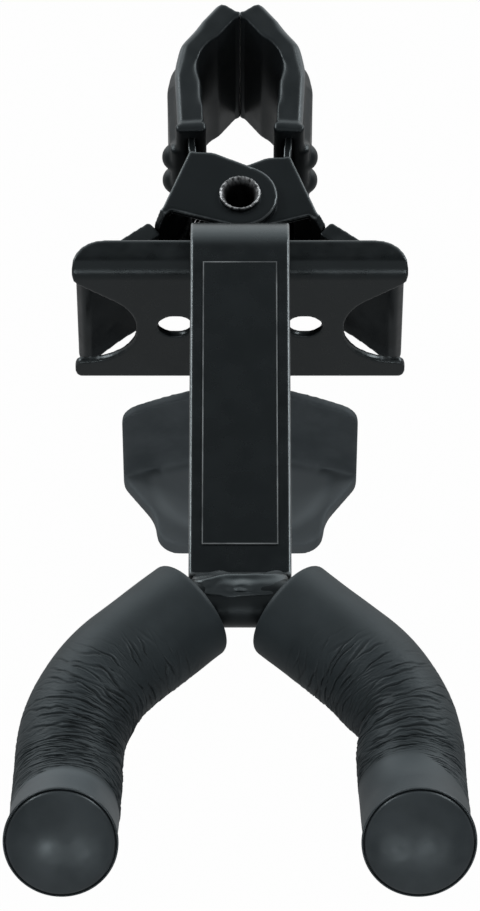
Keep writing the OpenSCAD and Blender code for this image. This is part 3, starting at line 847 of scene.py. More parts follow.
def sleeve_skin(name, side, arm):
    """The skin of a sleeve and the bore inside it, with its creases stored for the finish."""
    along, radius = sleeve_rows()
    angle = np.linspace(0, 2 * math.pi, SKIN_AROUND, endpoint=False)
    along_grid, angle_grid = np.meshgrid(along, angle, indexing="ij")
    height, dark, wear_and_painted_light = creases_on(along_grid, angle_grid, arm)
    if arm["buckle"]:
        fold, fold_dark = buckle(along_grid, angle_grid, *arm["buckle"])
        height += fold
        dark = np.maximum(dark, fold_dark)
    calm = smooth_step(0, CALM_ENDS, along_grid)
    calm *= 1 - smooth_step(sleeve_l - CALM_ENDS, sleeve_l, along_grid)
    bore = np.linspace(sleeve_l, 0, BORE_ROWS)[1:-1]
    plain = np.zeros((len(bore), SKIN_AROUND))
    reach = np.vstack([radius[:, None] + height * calm, plain + ROD_R])
    along = np.concatenate([along, bore])
    points, ahead, outward, upward = along_arm(along + sleeve_start)
    spokes = np.cos(angle)[:, None] * outward[:, None] + np.sin(angle)[:, None] * upward[:, None]
    rings = points[:, None] + reach[..., None] * spokes
    rings[..., 0] *= side
    mesh = ring_skin(name, rings * MM, loop=True)
    # The cuff's share makes the cuff smoother, a real finish, and paler, a painted sheen.
    cuff = arm["cuff_sheen"] * smooth_step(arm["cuff"] - 1, arm["cuff"] + 3, along_grid)
    for label, values in (("crease_shade", dark), ("wear_and_painted_light", wear_and_painted_light), ("cuff", cuff)):
        store(mesh, label, np.vstack([values, plain]))
    flat = mesh.attributes.new("skin", "FLOAT_VECTOR", "POINT")
    flat.data.foreach_set("vector", (unrolled(along[:, None], angle) * MM).ravel().astype(np.float32))
    return closed_outwards(mesh, merge=False)


# %% Leatherette
SKIN_TONES = ((0.0105, 0.0138, 0.0157), (0.0150, 0.0192, 0.0216))
# The cuff is a real smoother band; its paler tone is a painted sheen.
CUFF_SHEEN_TONE = (0.045, 0.0532, 0.0581, 1)
CREASE_SHADE_TONE = (0.0015, 0.0019, 0.0021, 1)
SKIN_ROUGH = 0.58
CUFF_ROUGH = 0.45
NET_MM = 0.85
NET_STRETCH = (1, 0.34, 0.34)


def leatherette():
    """Soft coated cloth: pebbled grain, a fine net of wear, creases darkened as painted shade, and a smoother
    cuff painted paler as a painted sheen.
    """
    skin = Finish("leatherette", Specular_IOR_Level=0.3, Specular_Tint=COOL)
    cuff = skin.stored("cuff")
    # Painted sheen: the cuff is mixed towards a paler tone.
    paler = skin.mix(cuff, skin.between(skin.mottle(8, 5), *SKIN_TONES), CUFF_SHEEN_TONE)
    # Painted shade: the creases are mixed towards a near-black tone.
    skin.colour(skin.mix(skin.stored("crease_shade"), paler, CREASE_SHADE_TONE))
    skin.gloss(skin.between(cuff, SKIN_ROUGH, CUFF_ROUGH, 0.0, 1.0))
    flat = skin.add("ShaderNodeAttribute", attribute_name="skin").outputs["Vector"]
    narrow = skin.add("ShaderNodeMapping", {"Vector": flat, "Scale": Vector(NET_STRETCH)}).outputs[0]
    links = {"Vector": narrow, "Scale": 1 / (NET_MM * MM)}
    cells = skin.add("ShaderNodeTexVoronoi", links, feature="DISTANCE_TO_EDGE").outputs["Distance"]
    net = skin.calc("MULTIPLY", skin.between(cells, 0.0, 1.0, 0.0, 0.16), skin.stored("wear_and_painted_light"))
    skin.relief((net, 0.05, 0.5), (skin.grain(0.55), 0.03, 0.3), (skin.mottle(0.2, 2), 0.012, 0.25))
    return skin.material


# %% Sleeves
# Each arm's cuff share sets how strongly its cuff gets the painted sheen.
ARMS = {"left": {"seed": 3, "cuff": 71.5, "cuff_slant": 4.0, "cuff_sheen": 1.0, "buckle": None},
        "right": {"seed": 11, "cuff": 62.0, "cuff_slant": 12.0, "cuff_sheen": 0.45, "buckle": (42.0, 11.5)}}
SIDES = (("left", -1), ("right", 1))

sleeve_finish = leatherette()
for side, sign in SIDES:
    name = side + "_sleeve_skin"
    sleeve = new_piece(name, sleeve_skin(name, sign, ARMS[side]), sleeve_finish)
    finish_piece(sleeve, "frame", "sleeve", side + "_sleeve")

# %% [markdown]
# ## End caps
# A rubber plug closes each sleeve. It is turned from a profile: a collar as wide as the sleeve, a narrow dark
# gap, and a dome inside it with a rounded edge.

# %% Turned caps
CAP_R = 13.5
COLLAR_T = 1.7
COLLAR_W = 0.45
GAP_W = 0.22
DOME_BASE = 1.2
DOME_EDGE = 1.5
DOME_LEAN = math.radians(62)
PLUG_R = 6.2
PLUG_L = 5.5
CAP_AROUND = 128


def cap_profile():
    """Heights and radii from the plug's inner end, over the collar and the gap, to the middle of the dome."""
    plug = [(-PLUG_L, 0.0), (-PLUG_L, PLUG_R - 0.4), (-PLUG_L + 0.5, PLUG_R), (0.05, PLUG_R),
            (0.05, CAP_R - 0.9), (0.3, CAP_R - 0.35), (0.6, CAP_R - 0.1)]
    dome_r = CAP_R - COLLAR_W - GAP_W
    collar = [(0.9, CAP_R), (COLLAR_T - 0.3, CAP_R), (COLLAR_T - 0.08, CAP_R - 0.1), (COLLAR_T, CAP_R - 0.25),
              (COLLAR_T - 0.1, CAP_R - 0.4), (0.7, CAP_R - COLLAR_W), (0.6, dome_r)]
    edge = [(DOME_BASE + DOME_EDGE * math.sin(t), dome_r - DOME_EDGE * (1 - math.cos(t)))
            for t in np.linspace(0, DOME_LEAN, 9)]
    edge_height, edge_r = edge[-1]
    slope = math.pi / 2 - DOME_LEAN
    ball_r = edge_r / math.sin(slope)
    crown = [(edge_height + ball_r * (math.cos(t) - math.cos(slope)), ball_r * math.sin(t))
             for t in np.linspace(slope, 0, 24)[1:]]
    return np.array(plug + collar + edge + crown)


def turned(profile, place, ahead, outward, upward, around):
    """Rings turned about a line: profile rows are (height along it, radius)."""
    angle = np.linspace(0, 2 * math.pi, around, endpoint=False)
    spokes = np.cos(angle)[:, None] * outward + np.sin(angle)[:, None] * upward
    return place + profile[:, 0, None, None] * ahead + profile[:, 1, None, None] * spokes


arm_tip = [rows[0] for rows in along_arm(np.array([stations[-1]]))]
for side, sign in SIDES:
    name = side + "_cap"
    rings = turned(cap_profile(), *arm_tip, CAP_AROUND)
    rings[..., 0] *= sign
    mesh = closed_outwards(ring_skin(name, rings * MM))
    finish_piece(new_piece(name, mesh, cap_rubber), "frame", "cap_rubber", side + "_end_cap")

# %% [markdown]
# ## Moulded rubber
# The boots, the grips and the rest pad come out of moulds or a dip, so their edges are rounder than those of
# the steel. They start as relaxed copies too. Then their points are moved: the boots' outer edges are rounded
# further and their tips pressed together, and the grips get the thick drop that dipping leaves.

# %% Moving points
def points_of(mesh):
    """A mesh's points in millimetres."""
    points = np.empty(len(mesh.vertices) * 3)
    mesh.vertices.foreach_get("co", points)
    return points.reshape(-1, 3) / MM


def move_points(mesh, points):
    """Gives a mesh new points in millimetres."""
    mesh.vertices.foreach_set("co", (points * MM).ravel())
    mesh.update()
    return mesh


def flowing(mesh, share, steps):
    """Moves each point towards the middle of its neighbours, by its share, again and again."""
    ends = np.empty(len(mesh.edges) * 2, dtype=np.int64)
    mesh.edges.foreach_get("vertices", ends)
    a, b = ends.reshape(-1, 2).T
    points = points_of(mesh)
    count = np.bincount(np.concatenate([a, b]), minlength=len(points))
    for _ in range(steps):
        for axis in range(3):
            value = points[:, axis]
            total = np.bincount(a, value[b], len(points)) + np.bincount(b, value[a], len(points))
            points[:, axis] += share * (total / count - value)
    return move_points(mesh, points)


def plateau(rise, fall, value):
    """Rises from 0 to 1 over one stretch and falls back to 0 over another."""
    return smooth_step(*rise, value) * (1 - smooth_step(*fall, value))


# %% Round edges of a boot
BOOT_LINE = np.array([(2.6, 19.1), (12.5, 6.0), (13.7, -0.4), (12.6, -22.0)])
BOOT_HALF_T = 3.4
BOOT_TOP = 22.0
EDGE_ROUND = 1.5
EDGE_ENDS_Y = (-20.5, -18.0)
EDGE_SHEEN_SPAN = (0.1, 0.7)
EDGE_STEPS = 3
BELT_TOP = 13.5
BELT_FALL = 1.3
BELT_ENDS_Y = (-20, -17)
SHOULDER = {"out": (0.8, 2.6), "up": (14, 16), "along": ((-4, 1), (11, 15)), "steps": 60}
POCKET = {"in": (0.5, 2.0), "along": ((-14, -10), (-1, 3)), "steps": 45}


def outward_from(route, spots):
    """Distance from a route seen from above, positive on its outer side."""
    nearest = np.full(len(spots), np.inf)
    side = np.zeros(len(spots))
    for a, b in zip(route[:-1], route[1:]):
        length = np.linalg.norm(b - a)
        ahead = (b - a) / length
        off = spots - a - np.clip((spots - a) @ ahead, 0, length)[:, None] * ahead
        distance = np.linalg.norm(off, axis=1)
        side = np.where(distance < nearest, off @ np.array([-ahead[1], ahead[0]]), side)
        nearest = np.minimum(nearest, distance)
    return side


def round_boot(mesh, sign):
    """Rounds the outer edges, slopes the belt's edges, and lets the shoulder and the pocket flow."""
    points = points_of(mesh)
    y = points[:, 1]
    height = np.abs(points[:, 2])
    out = outward_from(BOOT_LINE, points[:, :2] * np.array([sign, 1]))
    over = np.clip((out - BOOT_HALF_T + EDGE_ROUND) / EDGE_ROUND, 0, 1)
    near_top = smooth_step(BOOT_TOP - 2 * EDGE_ROUND, BOOT_TOP - 0.3, height) * smooth_step(*EDGE_ENDS_Y, y)
    edge_drop = EDGE_ROUND * (1 - np.sqrt(1 - over ** 2)) * near_top
    belt = plateau((BELT_TOP - 4, BELT_TOP - 0.5), (BELT_TOP + 0.5, BELT_TOP + 1.5), height)
    belt_drop = BELT_FALL * np.clip(out - BOOT_HALF_T, 0, None) * belt * smooth_step(*BELT_ENDS_Y, y)
    points[:, 2] -= np.sign(points[:, 2]) * (edge_drop + belt_drop)
    # Painted sheen: the rounded outer top edges are stored for a paler colour, standing in for their bright
    # grazing reflection.
    store(mesh, "wear_and_painted_light", smooth_step(*EDGE_SHEEN_SPAN, over) * near_top)
    flowing(move_points(mesh, points), 0.5, EDGE_STEPS)
    shoulder = smooth_step(*SHOULDER["out"], out) * smooth_step(*SHOULDER["up"], height)
    flowing(mesh, 0.5 * shoulder * plateau(*SHOULDER["along"], y), SHOULDER["steps"])
    pocket = smooth_step(*POCKET["in"], -out) * plateau(*POCKET["along"], y)
    return flowing(mesh, 0.5 * pocket, POCKET["steps"])


# %% Tips of the boots
TIP_REACH = 1.2
TIP_GAP = 0.002


def press_tips(mesh, sign):
    """The spring holds the boots' tips together: points close to the middle plane move almost onto it."""
    points = points_of(mesh)
    out = points[:, 0] * sign
    nearest = out.min()
    close = out < TIP_REACH
    pressed = ((out[close] - nearest) / (TIP_REACH - nearest)) ** 3
    points[close, 0] = sign * (TIP_GAP + (TIP_REACH - TIP_GAP) * pressed)
    return move_points(mesh, points)


# %% Shape of a grip
PIVOT_Y = -43.0
HANDLE_ANGLE = math.radians(38)
DROP = {"along": (29.0, 43.0), "out": 2.4, "ahead": 0.6, "taller": 0.08}
SAG = {"along": (31.0, 46.0), "taller": 0.22}


def lengthen_grip(mesh, sign):
    """Dipping leaves a thick drop at the handle's end, which reaches further out than the steel."""
    points = points_of(mesh)
    front = PIVOT_Y - points[:, 1]
    along = points[:, 0] * sign * math.cos(HANDLE_ANGLE) + front * math.sin(HANDLE_ANGLE)
    drop = smooth_step(*DROP["along"], along)
    sag = smooth_step(*SAG["along"], along)
    points[:, 0] += sign * DROP["out"] * drop
    points[:, 1] -= DROP["ahead"] * drop
    points[:, 2] *= 1 + np.where(points[:, 2] < 0, SAG["taller"] * sag, DROP["taller"] * drop)
    return move_points(mesh, points)


# %% Boots and grips
for side, sign in SIDES:
    boot_mesh = press_tips(round_boot(relaxed_copy(side + "_boot", voxel_mm=0.36, steps=9), sign), sign)
    boot = new_piece(side + "_boot_rubber", boot_mesh, boot_rubber)
    finish_piece(boot, side + "_half", "boot_rubber", side + "_boot")
    grip_mesh = lengthen_grip(relaxed_copy(side + "_grip", voxel_mm=0.4, steps=6), sign)
    grip = new_piece(side + "_grip_vinyl", grip_mesh, grip_vinyl)
    finish_piece(grip, side + "_half", "grip_vinyl", side + "_grip")

# %% [markdown]
# ## Rest pad
# The pad's outline is crisp, but the faces that a neck leans on flow into each other: the plate runs down
# into the tongue, and a low dome swells out of both. So only the points well inside the outline go on
# relaxing. The tongue is painted paler, and its dome most: painted light, for the light they catch facing up.

# %% Inside the pad's outline
PAD_FACE = -66.5
PAD_HOLLOW_R = 112.0
PLATE_Y = -71.5
PLATE_FLAT = 11.0
PLATE_SLOPE = 4.5
TONGUE_T = 5.0
TONGUE_Y = -83.0
TONGUE_HALF = 22.5
TIP_HALF = 21.4

pad_low, pad_high = (np.array(corner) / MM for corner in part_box("rest_pad"))
pad_foot = pad_low[2] + TONGUE_T


def inside_outline(points):
    """How far points are inside the pad's outline, and in front of its plate, in millimetres."""
    x, y, z = np.abs(points[:, 0]), points[:, 1], points[:, 2]
    half_width = np.interp(y, (pad_low[1], TONGUE_Y, PLATE_Y), (TIP_HALF, TONGUE_HALF, pad_high[0]))
    plate_top = np.interp(x, (PLATE_FLAT, pad_high[0]), (pad_high[2], pad_high[2] - PLATE_SLOPE))
    margin = np.minimum(np.minimum(half_width - x, y - pad_low[1]), plate_top - z)
    return margin, PAD_HOLLOW_R - np.hypot(x, y - PAD_FACE + PAD_HOLLOW_R)


# %% Pad relaxed inside its outline
PAD_STEPS = 60
INSIDE_FROM = (1.0, 4.5)
FRONT_FROM = (-1.4, -0.6)
ABOVE_FOOT = (-2.0, -1.0)

pad_mesh = relaxed_copy("rest_pad", voxel_mm=0.45, steps=10)
points = points_of(pad_mesh)
margin, in_front = inside_outline(points)
upper = smooth_step(*ABOVE_FOOT, points[:, 2] - pad_foot)
inner = smooth_step(*INSIDE_FROM, margin) * smooth_step(*FRONT_FROM, in_front) * upper
flowing(pad_mesh, 0.5 * inner, PAD_STEPS)
print("points of the pad that flow: %d of %d" % ((inner > 0).sum(), len(inner)))

# %% Dome of the pad
DOME_STEPS = 24
FACING_UP = (0.3, 0.7)
ON_TONGUE = (1.5, 3.0)
PAINTED_LIGHT_FROM = (0.5, 4.0)
DISC_R = 24.5
DISC_RISE = 0.9
DISC_SIDE = 13.0
DOME_H = 5.0
LEAST_PAINTED_LIGHT = 0.35


def upward_share(mesh):
    """How far each point of a mesh faces up."""
    facing = np.empty(len(mesh.vertices) * 3)
    mesh.vertex_normals.foreach_get("vector", facing)
    return facing.reshape(-1, 3)[:, 2]


points = points_of(pad_mesh)
in_front = inside_outline(points)[1]
across = np.abs(points[:, 0]) / pad_high[0]
reach = np.sqrt(np.clip(DISC_R ** 2 - points[:, 0] ** 2, DISC_SIDE ** 2, None))
disc = 1 - smooth_step(DISC_R - 2, DISC_R + 1, np.hypot(points[:, 0], in_front))
crest = DOME_H * np.clip(1 - across, 0, 1) ** 0.8
dome = DISC_RISE * disc + (crest - DISC_RISE * disc) * np.clip(1 - in_front / reach, 0, 1) ** 1.5
lying = np.maximum(smooth_step(*FACING_UP, upward_share(pad_mesh)), smooth_step(*ON_TONGUE, in_front))
points[:, 2] += inner * lying * (pad_foot + dome - points[:, 2])
flowing(move_points(pad_mesh, points), 0.5 * inner, DOME_STEPS)
# Painted light: the tongue, and its dome most, are stored for a paler colour, for the light they catch facing
# up.
store(pad_mesh, "wear_and_painted_light", smooth_step(*PAINTED_LIGHT_FROM, in_front) * (LEAST_PAINTED_LIGHT + (1 - LEAST_PAINTED_LIGHT) * disc))
pad = new_piece("rest_pad_rubber", pad_mesh, pad_rubber)
finish_piece(pad, "frame", "pad_rubber", "rest_pad")

# %% [markdown]
# ## Welds
# A hand weld is a row of overlapping puddles. For the small welds, a tree sets flattened balls of seeded
# sizes along a line, and a remesh melts them into one bead. The weld on the yoke is the one that shows, so it
# is drawn from given sections, each from the strap over the bar, with ridges, a hollow and the edge of one
# puddle, joined into a skin. The skin is then softened, because thick paint fills its valleys.

# %% Tree for a weld
BALL_SEGMENTS, BALL_RINGS = 20, 12
BALL_LEAST, BALL_MOST = (0.75, 0.85, 0.55), (1.0, 1.2, 0.85)
BEAD_VOXEL, BEAD_STEPS = 0.3, 5


def weld_tree():
    tree, given = tree_with("weld run", Count="Int", Ball="Float", Seed="Int", Material="Material")
    sizes = {"Min": BALL_LEAST, "Max": BALL_MOST, "Seed": given["Seed"]}
    shape = {"Radius": given["Ball"], "Segments": BALL_SEGMENTS, "Rings": BALL_RINGS}
    line_up = {"Curve": given["Geometry"], "Count": given["Count"]}
    spots = {"Points": tree.add("GeometryNodeResampleCurve", line_up).outputs["Curve"],
             "Instance": tree.add("GeometryNodeMeshUVSphere", shape).outputs["Mesh"],
             "Scale": tree.add("FunctionNodeRandomValue", sizes, data_type="FLOAT_VECTOR").outputs["Value"]}
    balls = tree.add("GeometryNodeInstanceOnPoints", spots).outputs["Instances"]
    solid = tree.add("GeometryNodeRealizeInstances", {"Geometry": balls}).outputs["Geometry"]
    return coated(tree, solid, given["Material"])


weld_run = weld_tree()


def weld_bead(name, node, places_mm, count, ball_mm, seed):
    """A bead along a line, which stands for a node."""
    source = line_through(name, places_mm)
    lumps = run_tree(source, weld_run, Count=count, Ball=ball_mm * MM, Seed=seed, Material=bar_black)
    bead = softened(in_scene("lumps", lumps), BEAD_VOXEL, BEAD_STEPS)
    finish_piece(new_piece(name, bead, bar_black), "frame", "black_steel", node)


# %% Section of the yoke weld
STRAP_TOP = 39.0
ROD_MIDDLE = np.array([ROD_Y, ROD_Z])
WELD_HALF = 12.0
WELD_ROWS = 130
WELD_STEPS = 48
WELD_POLE = np.array([-171.0, 39.5])
WELD_INSIDE = np.array([-170.0, 37.9])
UNDER_LIP = np.array([-0.6, -0.8])
WELD_LIP = ((-12, -167.6), (-5, -166.6), (0, -168.0), (5, -167.8), (9, -166.0), (12, -166.8))
WELD_MEETS = 0.3
WELD_FROM = math.radians(50)
WELD_TO = math.radians(120)
WELD_COVER = 0.25
WELD_SUNK = 0.05
WELD_SAG = 0.9
RIDGES = ((0.5, 0.10, ((-12, 0.24), (-5, 0.16), (0, 0.22), (5, 0.18), (9, 0.08), (12, 0.12))),
          (0.95, 0.07, ((-11, 0.62), (-7, 0.52), (-3.5, 0.36), (0, 0.37), (4, 0.36), (7, 0.33), (10, 0.24))),
          (0.45, 0.08, ((-12, 0.92), (-4, 0.90), (4, 0.93), (12, 0.90))))
HOLLOW = {"x": 2.2, "t": 0.76, "depth": 0.5, "wide": 4.2, "long": 0.09}
PUDDLE = {"x": 0.3, "wide": 3.0, "high": 1.0,
          "rise": (0.50, 0.72), "edge": 0.77, "slant": 0.012, "sharp": 0.035}


def wobble(*place):
    """Smooth noise at a place."""
    return noise.noise(Vector(place))


def weld_lump(x, t):
    """How far the weld stands above its plain cover at x, a share t of the way over the bar."""
    lump = sum(high * math.exp(-((t - np.interp(x, *zip(*run))) / half) ** 2) for high, half, run in RIDGES)
    off_x, off_t = (x - HOLLOW["x"]) / HOLLOW["wide"], (t - HOLLOW["t"]) / HOLLOW["long"]
    lump -= HOLLOW["depth"] * math.exp(-off_x ** 2 - off_t ** 2)
    edge = PUDDLE["edge"] + PUDDLE["slant"] * (x - PUDDLE["x"])
    puddle = plateau(PUDDLE["rise"], (edge - PUDDLE["sharp"], edge + PUDDLE["sharp"]), t)
    lump += PUDDLE["high"] * puddle * math.exp(-((x - PUDDLE["x"]) / PUDDLE["wide"]) ** 2)
    return lump + 0.2 * wobble(x / 3.2, t * 3.0, 1.7)


def weld_section(x):
    """A closed section of the weld: up from the strap, over the top of the bar, and back inside the steel."""
    lip = np.array([np.interp(x, *zip(*WELD_LIP)) + 0.5 * wobble(x / 3.0, 3.3, 0), STRAP_TOP - WELD_SUNK])
    toe = WELD_TO + math.radians(6 * wobble(x / 5.0, 8.1, 0))
    surface = []
    for t in np.linspace(0, 1, WELD_STEPS):
        turn = np.interp(t, (WELD_MEETS, 1), (WELD_FROM, toe))
        outward = np.array([math.cos(turn), math.sin(turn)])
        spot = ROD_MIDDLE + ROD_R * outward
        if t < WELD_MEETS:
            rise = t / WELD_MEETS
            spot = lip + (spot - lip) * rise - outward * WELD_SAG * 4 * rise * (1 - rise)
        cover = (WELD_COVER + weld_lump(x, t)) * plateau((0, 0.16), (0.9, 1), t)
        surface.append(spot + outward * (cover - WELD_SUNK))
    inside = [(spot + ROD_MIDDLE) / 2, WELD_INSIDE, lip + UNDER_LIP]
    fullness = max(0.0, 1 - (x / WELD_HALF) ** 6) ** 0.5
    section = WELD_POLE + fullness * (np.array(surface + inside) - WELD_POLE)
    return np.column_stack([np.full(len(section), x), section])


# %% Yoke weld
CRISP_AT = (PUDDLE["x"], ROD_Y - 0.9)
CRISP_HALF = (3, 1.2)
SOFT_STEPS = 24

weld_rings = np.array([weld_section(x) for x in np.linspace(-WELD_HALF, WELD_HALF, WELD_ROWS)])
weld_skin = closed_outwards(ring_skin("yoke_weld", weld_rings * MM))
from_edge = (points_of(weld_skin)[:, :2] - CRISP_AT) / CRISP_HALF
flowing(weld_skin, 0.5 * (1 - np.exp(-(from_edge ** 4).sum(1))), SOFT_STEPS)
finish_piece(new_piece("yoke_weld", weld_skin, weld_lit_black), "frame", "black_steel", "weld_bead")

# %% Small welds
SEAM_SHORT = 1.2
LUG_SEAM_Y = 0.7
LUG_SEAM_Z = 1.8

weld_low, weld_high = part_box("bracket_weld")
seam_x = (weld_low.x / MM + SEAM_SHORT, weld_high.x / MM - SEAM_SHORT)
seam_middle = (weld_low + weld_high) / 2 / MM
flange_seam = [(x, seam_middle.y, seam_middle.z) for x in seam_x]
weld_bead("flange_weld", "bracket_weld", flange_seam, count=14, ball_mm=1.25, seed=2)

lug_low, lug_high = (np.array(corner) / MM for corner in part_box("lug_welds"))
lug_seams = (("upper_lug_weld", lug_high[2] - LUG_SEAM_Z, 5), ("lower_lug_weld", lug_low[2] + LUG_SEAM_Z, 6))
for name, z, seed in lug_seams:
    seam = [(x, lug_low[1] + LUG_SEAM_Y, z) for x in (lug_low[0] + SEAM_SHORT, lug_high[0] - SEAM_SHORT)]
    weld_bead(name, "lug_welds", seam, count=10, ball_mm=1.6, seed=seed)

# %% [markdown]
# ## Eyelet
# The clamp turns on a hollow rivet. Its top edge was rolled over by a press, which leaves a bright rim of
# small flats and nicks, so the rim is turned from a profile and then dented by noise.

# %% Crimped eyelet
EYELET_AROUND = 168
BORE_R = 3.7
SHANK_R = 4.5
RIM_T = 1.2
ROLLED_ROWS = range(2, 9)
BORE_DARK_FROM = 0.4
DENTS = {"count": 9, "rise": 0.6, "from": 0, "out": 0.10, "up": 0.09}
FLATS = {"count": 4, "rise": 0.3, "from": 9, "out": 0.07, "up": 0.10}
RIM_IN, RIM_DOWN = 0.06, 0.12
RIGHT, BACK, UP = np.eye(3)

rivet_low, rivet_high = (np.array(corner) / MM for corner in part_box("pivot_rivet"))
rim_r = (rivet_high[0] - rivet_low[0]) / 2


def eyelet_profile(foot, top):
    """Heights and radii round the rivet's wall, up the outside and down the bore."""
    roll = [(top - RIM_T, SHANK_R), (top - RIM_T, rim_r - 0.5), (top - 0.8, rim_r - 0.1),
            (top - 0.45, rim_r - 0.02), (top - 0.15, rim_r - 0.12), (top - 0.03, rim_r - 0.32),
            (top - 0.25, rim_r - 0.58), (top - 0.9, BORE_R + 0.62), (top - 1.6, BORE_R + 0.2),
            (top - 2.4, BORE_R)]
    flare = [(foot + RIM_T, BORE_R), (foot + 0.1, BORE_R), (foot, BORE_R + 0.3), (foot, rim_r - 0.4),
             (foot + 0.4, rim_r - 0.02), (foot + RIM_T, rim_r - 0.1), (foot + RIM_T, SHANK_R)]
    return np.array(roll + flare)


def uneven_rim(kind, row):
    """Noise of one kind, once round a row of the rim."""
    spin = np.linspace(0, 2 * math.pi, EYELET_AROUND, endpoint=False)
    height = row * kind["rise"] + kind["from"]
    return np.array([wobble(kind["count"] * math.cos(a), kind["count"] * math.sin(a), height) for a in spin])


profile = eyelet_profile(rivet_low[2], rivet_high[2])
rings = turned(profile, PIVOT_Y * BACK, UP, RIGHT, BACK, EYELET_AROUND)
for row in ROLLED_ROWS:
    dents, flats = uneven_rim(DENTS, row), uneven_rim(FLATS, row)
    out = unit((rings[row] - PIVOT_Y * BACK) * (RIGHT + BACK))
    rings[row] += out * (DENTS["out"] * dents + FLATS["out"] * flats - RIM_IN)[:, None]
    rings[row][:, 2] += DENTS["up"] * dents + FLATS["up"] * flats - RIM_DOWN
eyelet_mesh = ring_skin("crimped_eyelet", rings * MM, loop=True)
# The steel is made dark from just inside the rim down into the bore.
funnel = np.clip((rim_r - BORE_DARK_FROM - profile[:, 1]) / (rim_r - BORE_DARK_FROM - BORE_R), 0, 1)
store(eyelet_mesh, "bore_dark", np.repeat(funnel, EYELET_AROUND))
eyelet = new_piece("crimped_eyelet", closed_outwards(eyelet_mesh), bright_steel)
finish_piece(eyelet, "frame", "bright_steel", "pivot_rivet")

# %% [markdown]
# ## Torsion spring
# The wire runs from the left handle, round the pivot and out to the right handle. When the handles move,
# the coil stays and its legs go with them, so the coil and each leg are separate pieces. Each leg reaches a
# little way round inside the end of the coil, and slides out of it as the clamp opens.

# %% Coil and legs
WIRE_R = 1.4
WIRE_SIDES = 14
LEG_SLIMMER = 0.97
COIL_R = 12.6
COIL_HALF = 11.0
COIL_TURNS = 5
COIL_POINTS = 240
LEG_HIDDEN = math.radians(34)
KNEE_OUT, KNEE_ALONG = 3.4, 17
TIP_OUT, TIP_ALONG = 4, 27
BEND_FROM, BEND_TO = 0.35, 0.4

handle_along = np.array([-math.cos(HANDLE_ANGLE), -math.sin(HANDLE_ANGLE)])
handle_out = np.array([-math.sin(HANDLE_ANGLE), math.cos(HANDLE_ANGLE)])
knee = KNEE_OUT * handle_out + KNEE_ALONG * handle_along
leg_end = TIP_OUT * handle_out + TIP_ALONG * handle_along
coil_from = math.atan2(knee[1], knee[0]) + 2 * math.pi - math.acos(COIL_R / np.linalg.norm(knee))
coil_sweep = COIL_TURNS * 2 * math.pi + 2 * (coil_from - math.pi / 2)


def coil_point(angle_done):
    """A point of the coil, after an angle from its left end."""
    a = coil_from - angle_done
    z = COIL_HALF * (1 - 2 * angle_done / coil_sweep)
    return np.array([COIL_R * math.cos(a), PIVOT_Y + COIL_R * math.sin(a), z])


def leg_points():
    """The left leg: out of the coil, round the knee and along the handle."""
    hidden = [coil_point(t) for t in np.linspace(LEG_HIDDEN, 0, 8)]
    corner = np.array([knee[0], PIVOT_Y + knee[1], COIL_HALF])
    tip = np.array([leg_end[0], PIVOT_Y + leg_end[1], COIL_HALF])
    before = corner + (coil_point(0) - corner) * BEND_FROM
    after = corner + (tip - corner) * BEND_TO
    bend = [(1 - t) ** 2 * before + 2 * t * (1 - t) * corner + t * t * after for t in np.linspace(0, 1, 7)]
    return np.array(hidden + bend + [tip])


coil_line = [coil_point(t) for t in np.linspace(0, coil_sweep, COIL_POINTS)]
coil = bar_along("spring_coil", coil_line, WIRE_R, WIRE_SIDES, spring_steel)
finish_piece(coil, "frame", "spring_steel", "spring")
for side, half_turn in (("left", (1, 1, 1)), ("right", (-1, 1, -1))):
    leg_line = leg_points() * np.array(half_turn)
    leg = bar_along("spring_%s_leg" % side, leg_line, WIRE_R * LEG_SLIMMER, WIRE_SIDES, spring_steel)
    finish_piece(leg, side + "_half", "spring_steel", "spring")

# %% [markdown]
# ## Screws and nuts
# Two screws hold the rest pad to the leg of the strap. Each is one small mesh, and a tree sets it at both
# places, so a change to the head changes every screw.

# %% Tree for fasteners
def fastener_tree():
    tree, given = tree_with("fasteners", Part="Object", Material="Material")
    part = tree.add("GeometryNodeObjectInfo", {"Object": given["Part"]}).outputs["Geometry"]
    spots = {"Points": given["Geometry"], "Instance": part}
    parts = tree.add("GeometryNodeInstanceOnPoints", spots).outputs["Instances"]
    solid = tree.add("GeometryNodeRealizeInstances", {"Geometry": parts}).outputs["Geometry"]
    return coated(tree, solid, given["Material"])


fasteners = fastener_tree()


def set_at(name, mesh, places, node):
    """One piece with a copy of a mesh at each place, which stands for a node."""
    pattern = in_scene(name + " pattern", mesh)
    dots = bpy.data.meshes.new(name + " places")
    dots.from_pydata([tuple(p) for p in places], [], [])
    copies = run_tree(in_scene(name + " places", dots), fasteners, Part=pattern, Material=black_steel)
    bpy.data.objects.remove(pattern)
    finish_piece(new_piece(name, copies, black_steel), "frame", "fastener", node)


# %% Screws
SCREW_R = 2.0
HEAD_R = 3.8
HEAD_T = 2.4
SOCKET_R = 1.35
SOCKET_ROWS = (10, 11, 12)
SOCKET_SHARE = 0.9
HEX_AROUND = 48

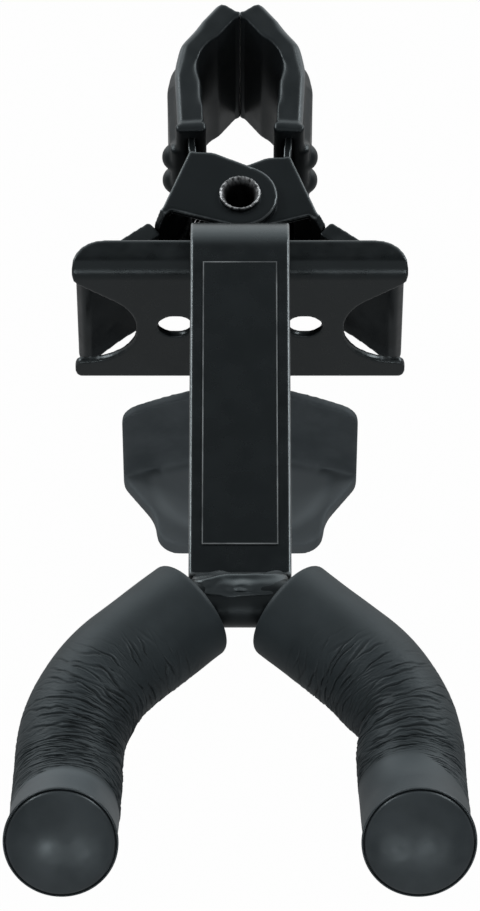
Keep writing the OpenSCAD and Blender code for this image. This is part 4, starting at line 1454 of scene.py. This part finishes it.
screw_low, screw_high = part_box("rest_pad_screws")
head_seat = screw_low.y / MM + HEAD_T
shank_l = screw_high.y / MM - head_seat
screw_heights = [screw_low.z + HEAD_R * MM, screw_high.z - HEAD_R * MM]
shank = [(-shank_l, 0), (-shank_l, SCREW_R - 0.3), (-shank_l + 0.4, SCREW_R), (0, SCREW_R)]
head = [(0, HEAD_R - 0.3), (0.3, HEAD_R), (1.1, HEAD_R - 0.05), (1.8, HEAD_R - 0.6), (2.2, HEAD_R - 1.3),
        (HEAD_T, 2.0), (HEAD_T, SOCKET_R + 0.1)]
socket = [(HEAD_T - 0.15, SOCKET_R), (HEAD_T - 1.2, SOCKET_R), (HEAD_T - 1.5, 0)]
spokes = np.linspace(0, 2 * math.pi, HEX_AROUND, endpoint=False)


def hex_reach(flat_r):
    """How far a hexagon reaches at each spoke."""
    sixth = math.pi / 3
    return flat_r / np.cos((spokes + sixth / 2) % sixth - sixth / 2)


screw_rings = turned(np.array(shank + head + socket), np.zeros(3), -BACK, RIGHT, UP, HEX_AROUND)
for row in SOCKET_ROWS:
    axis_part = screw_rings[row] * BACK
    screw_rings[row] = axis_part + (screw_rings[row] - axis_part) * hex_reach(SOCKET_SHARE)[:, None]
screw_mesh = closed_outwards(ring_skin("screw", screw_rings * MM))
set_at("pad_screws", screw_mesh, [(0, head_seat * MM, z) for z in screw_heights], "rest_pad_screws")

# %% Nuts
NUT_FLAT_R = 3.48
NUT_BORE_R = 2.05
NUT_T = 3.2
NUT_CHAMFER = 0.5

nut_low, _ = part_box("rest_pad_nuts")
chamfer_r = np.full(HEX_AROUND, NUT_FLAT_R - NUT_CHAMFER)
bore_r = np.full(HEX_AROUND, NUT_BORE_R)
nut_rows = ((0, bore_r), (0, chamfer_r), (NUT_CHAMFER, hex_reach(NUT_FLAT_R)),
            (NUT_T - NUT_CHAMFER, hex_reach(NUT_FLAT_R)), (NUT_T, chamfer_r), (NUT_T, bore_r))
directions = np.cos(spokes)[:, None] * RIGHT + np.sin(spokes)[:, None] * UP
nut_rings = np.array([depth * BACK + radius[:, None] * directions for depth, radius in nut_rows])
nut_mesh = closed_outwards(ring_skin("nut", nut_rings * MM, loop=True))
set_at("pad_nuts", nut_mesh, [(0, nut_low.y, z) for z in screw_heights], "rest_pad_nuts")
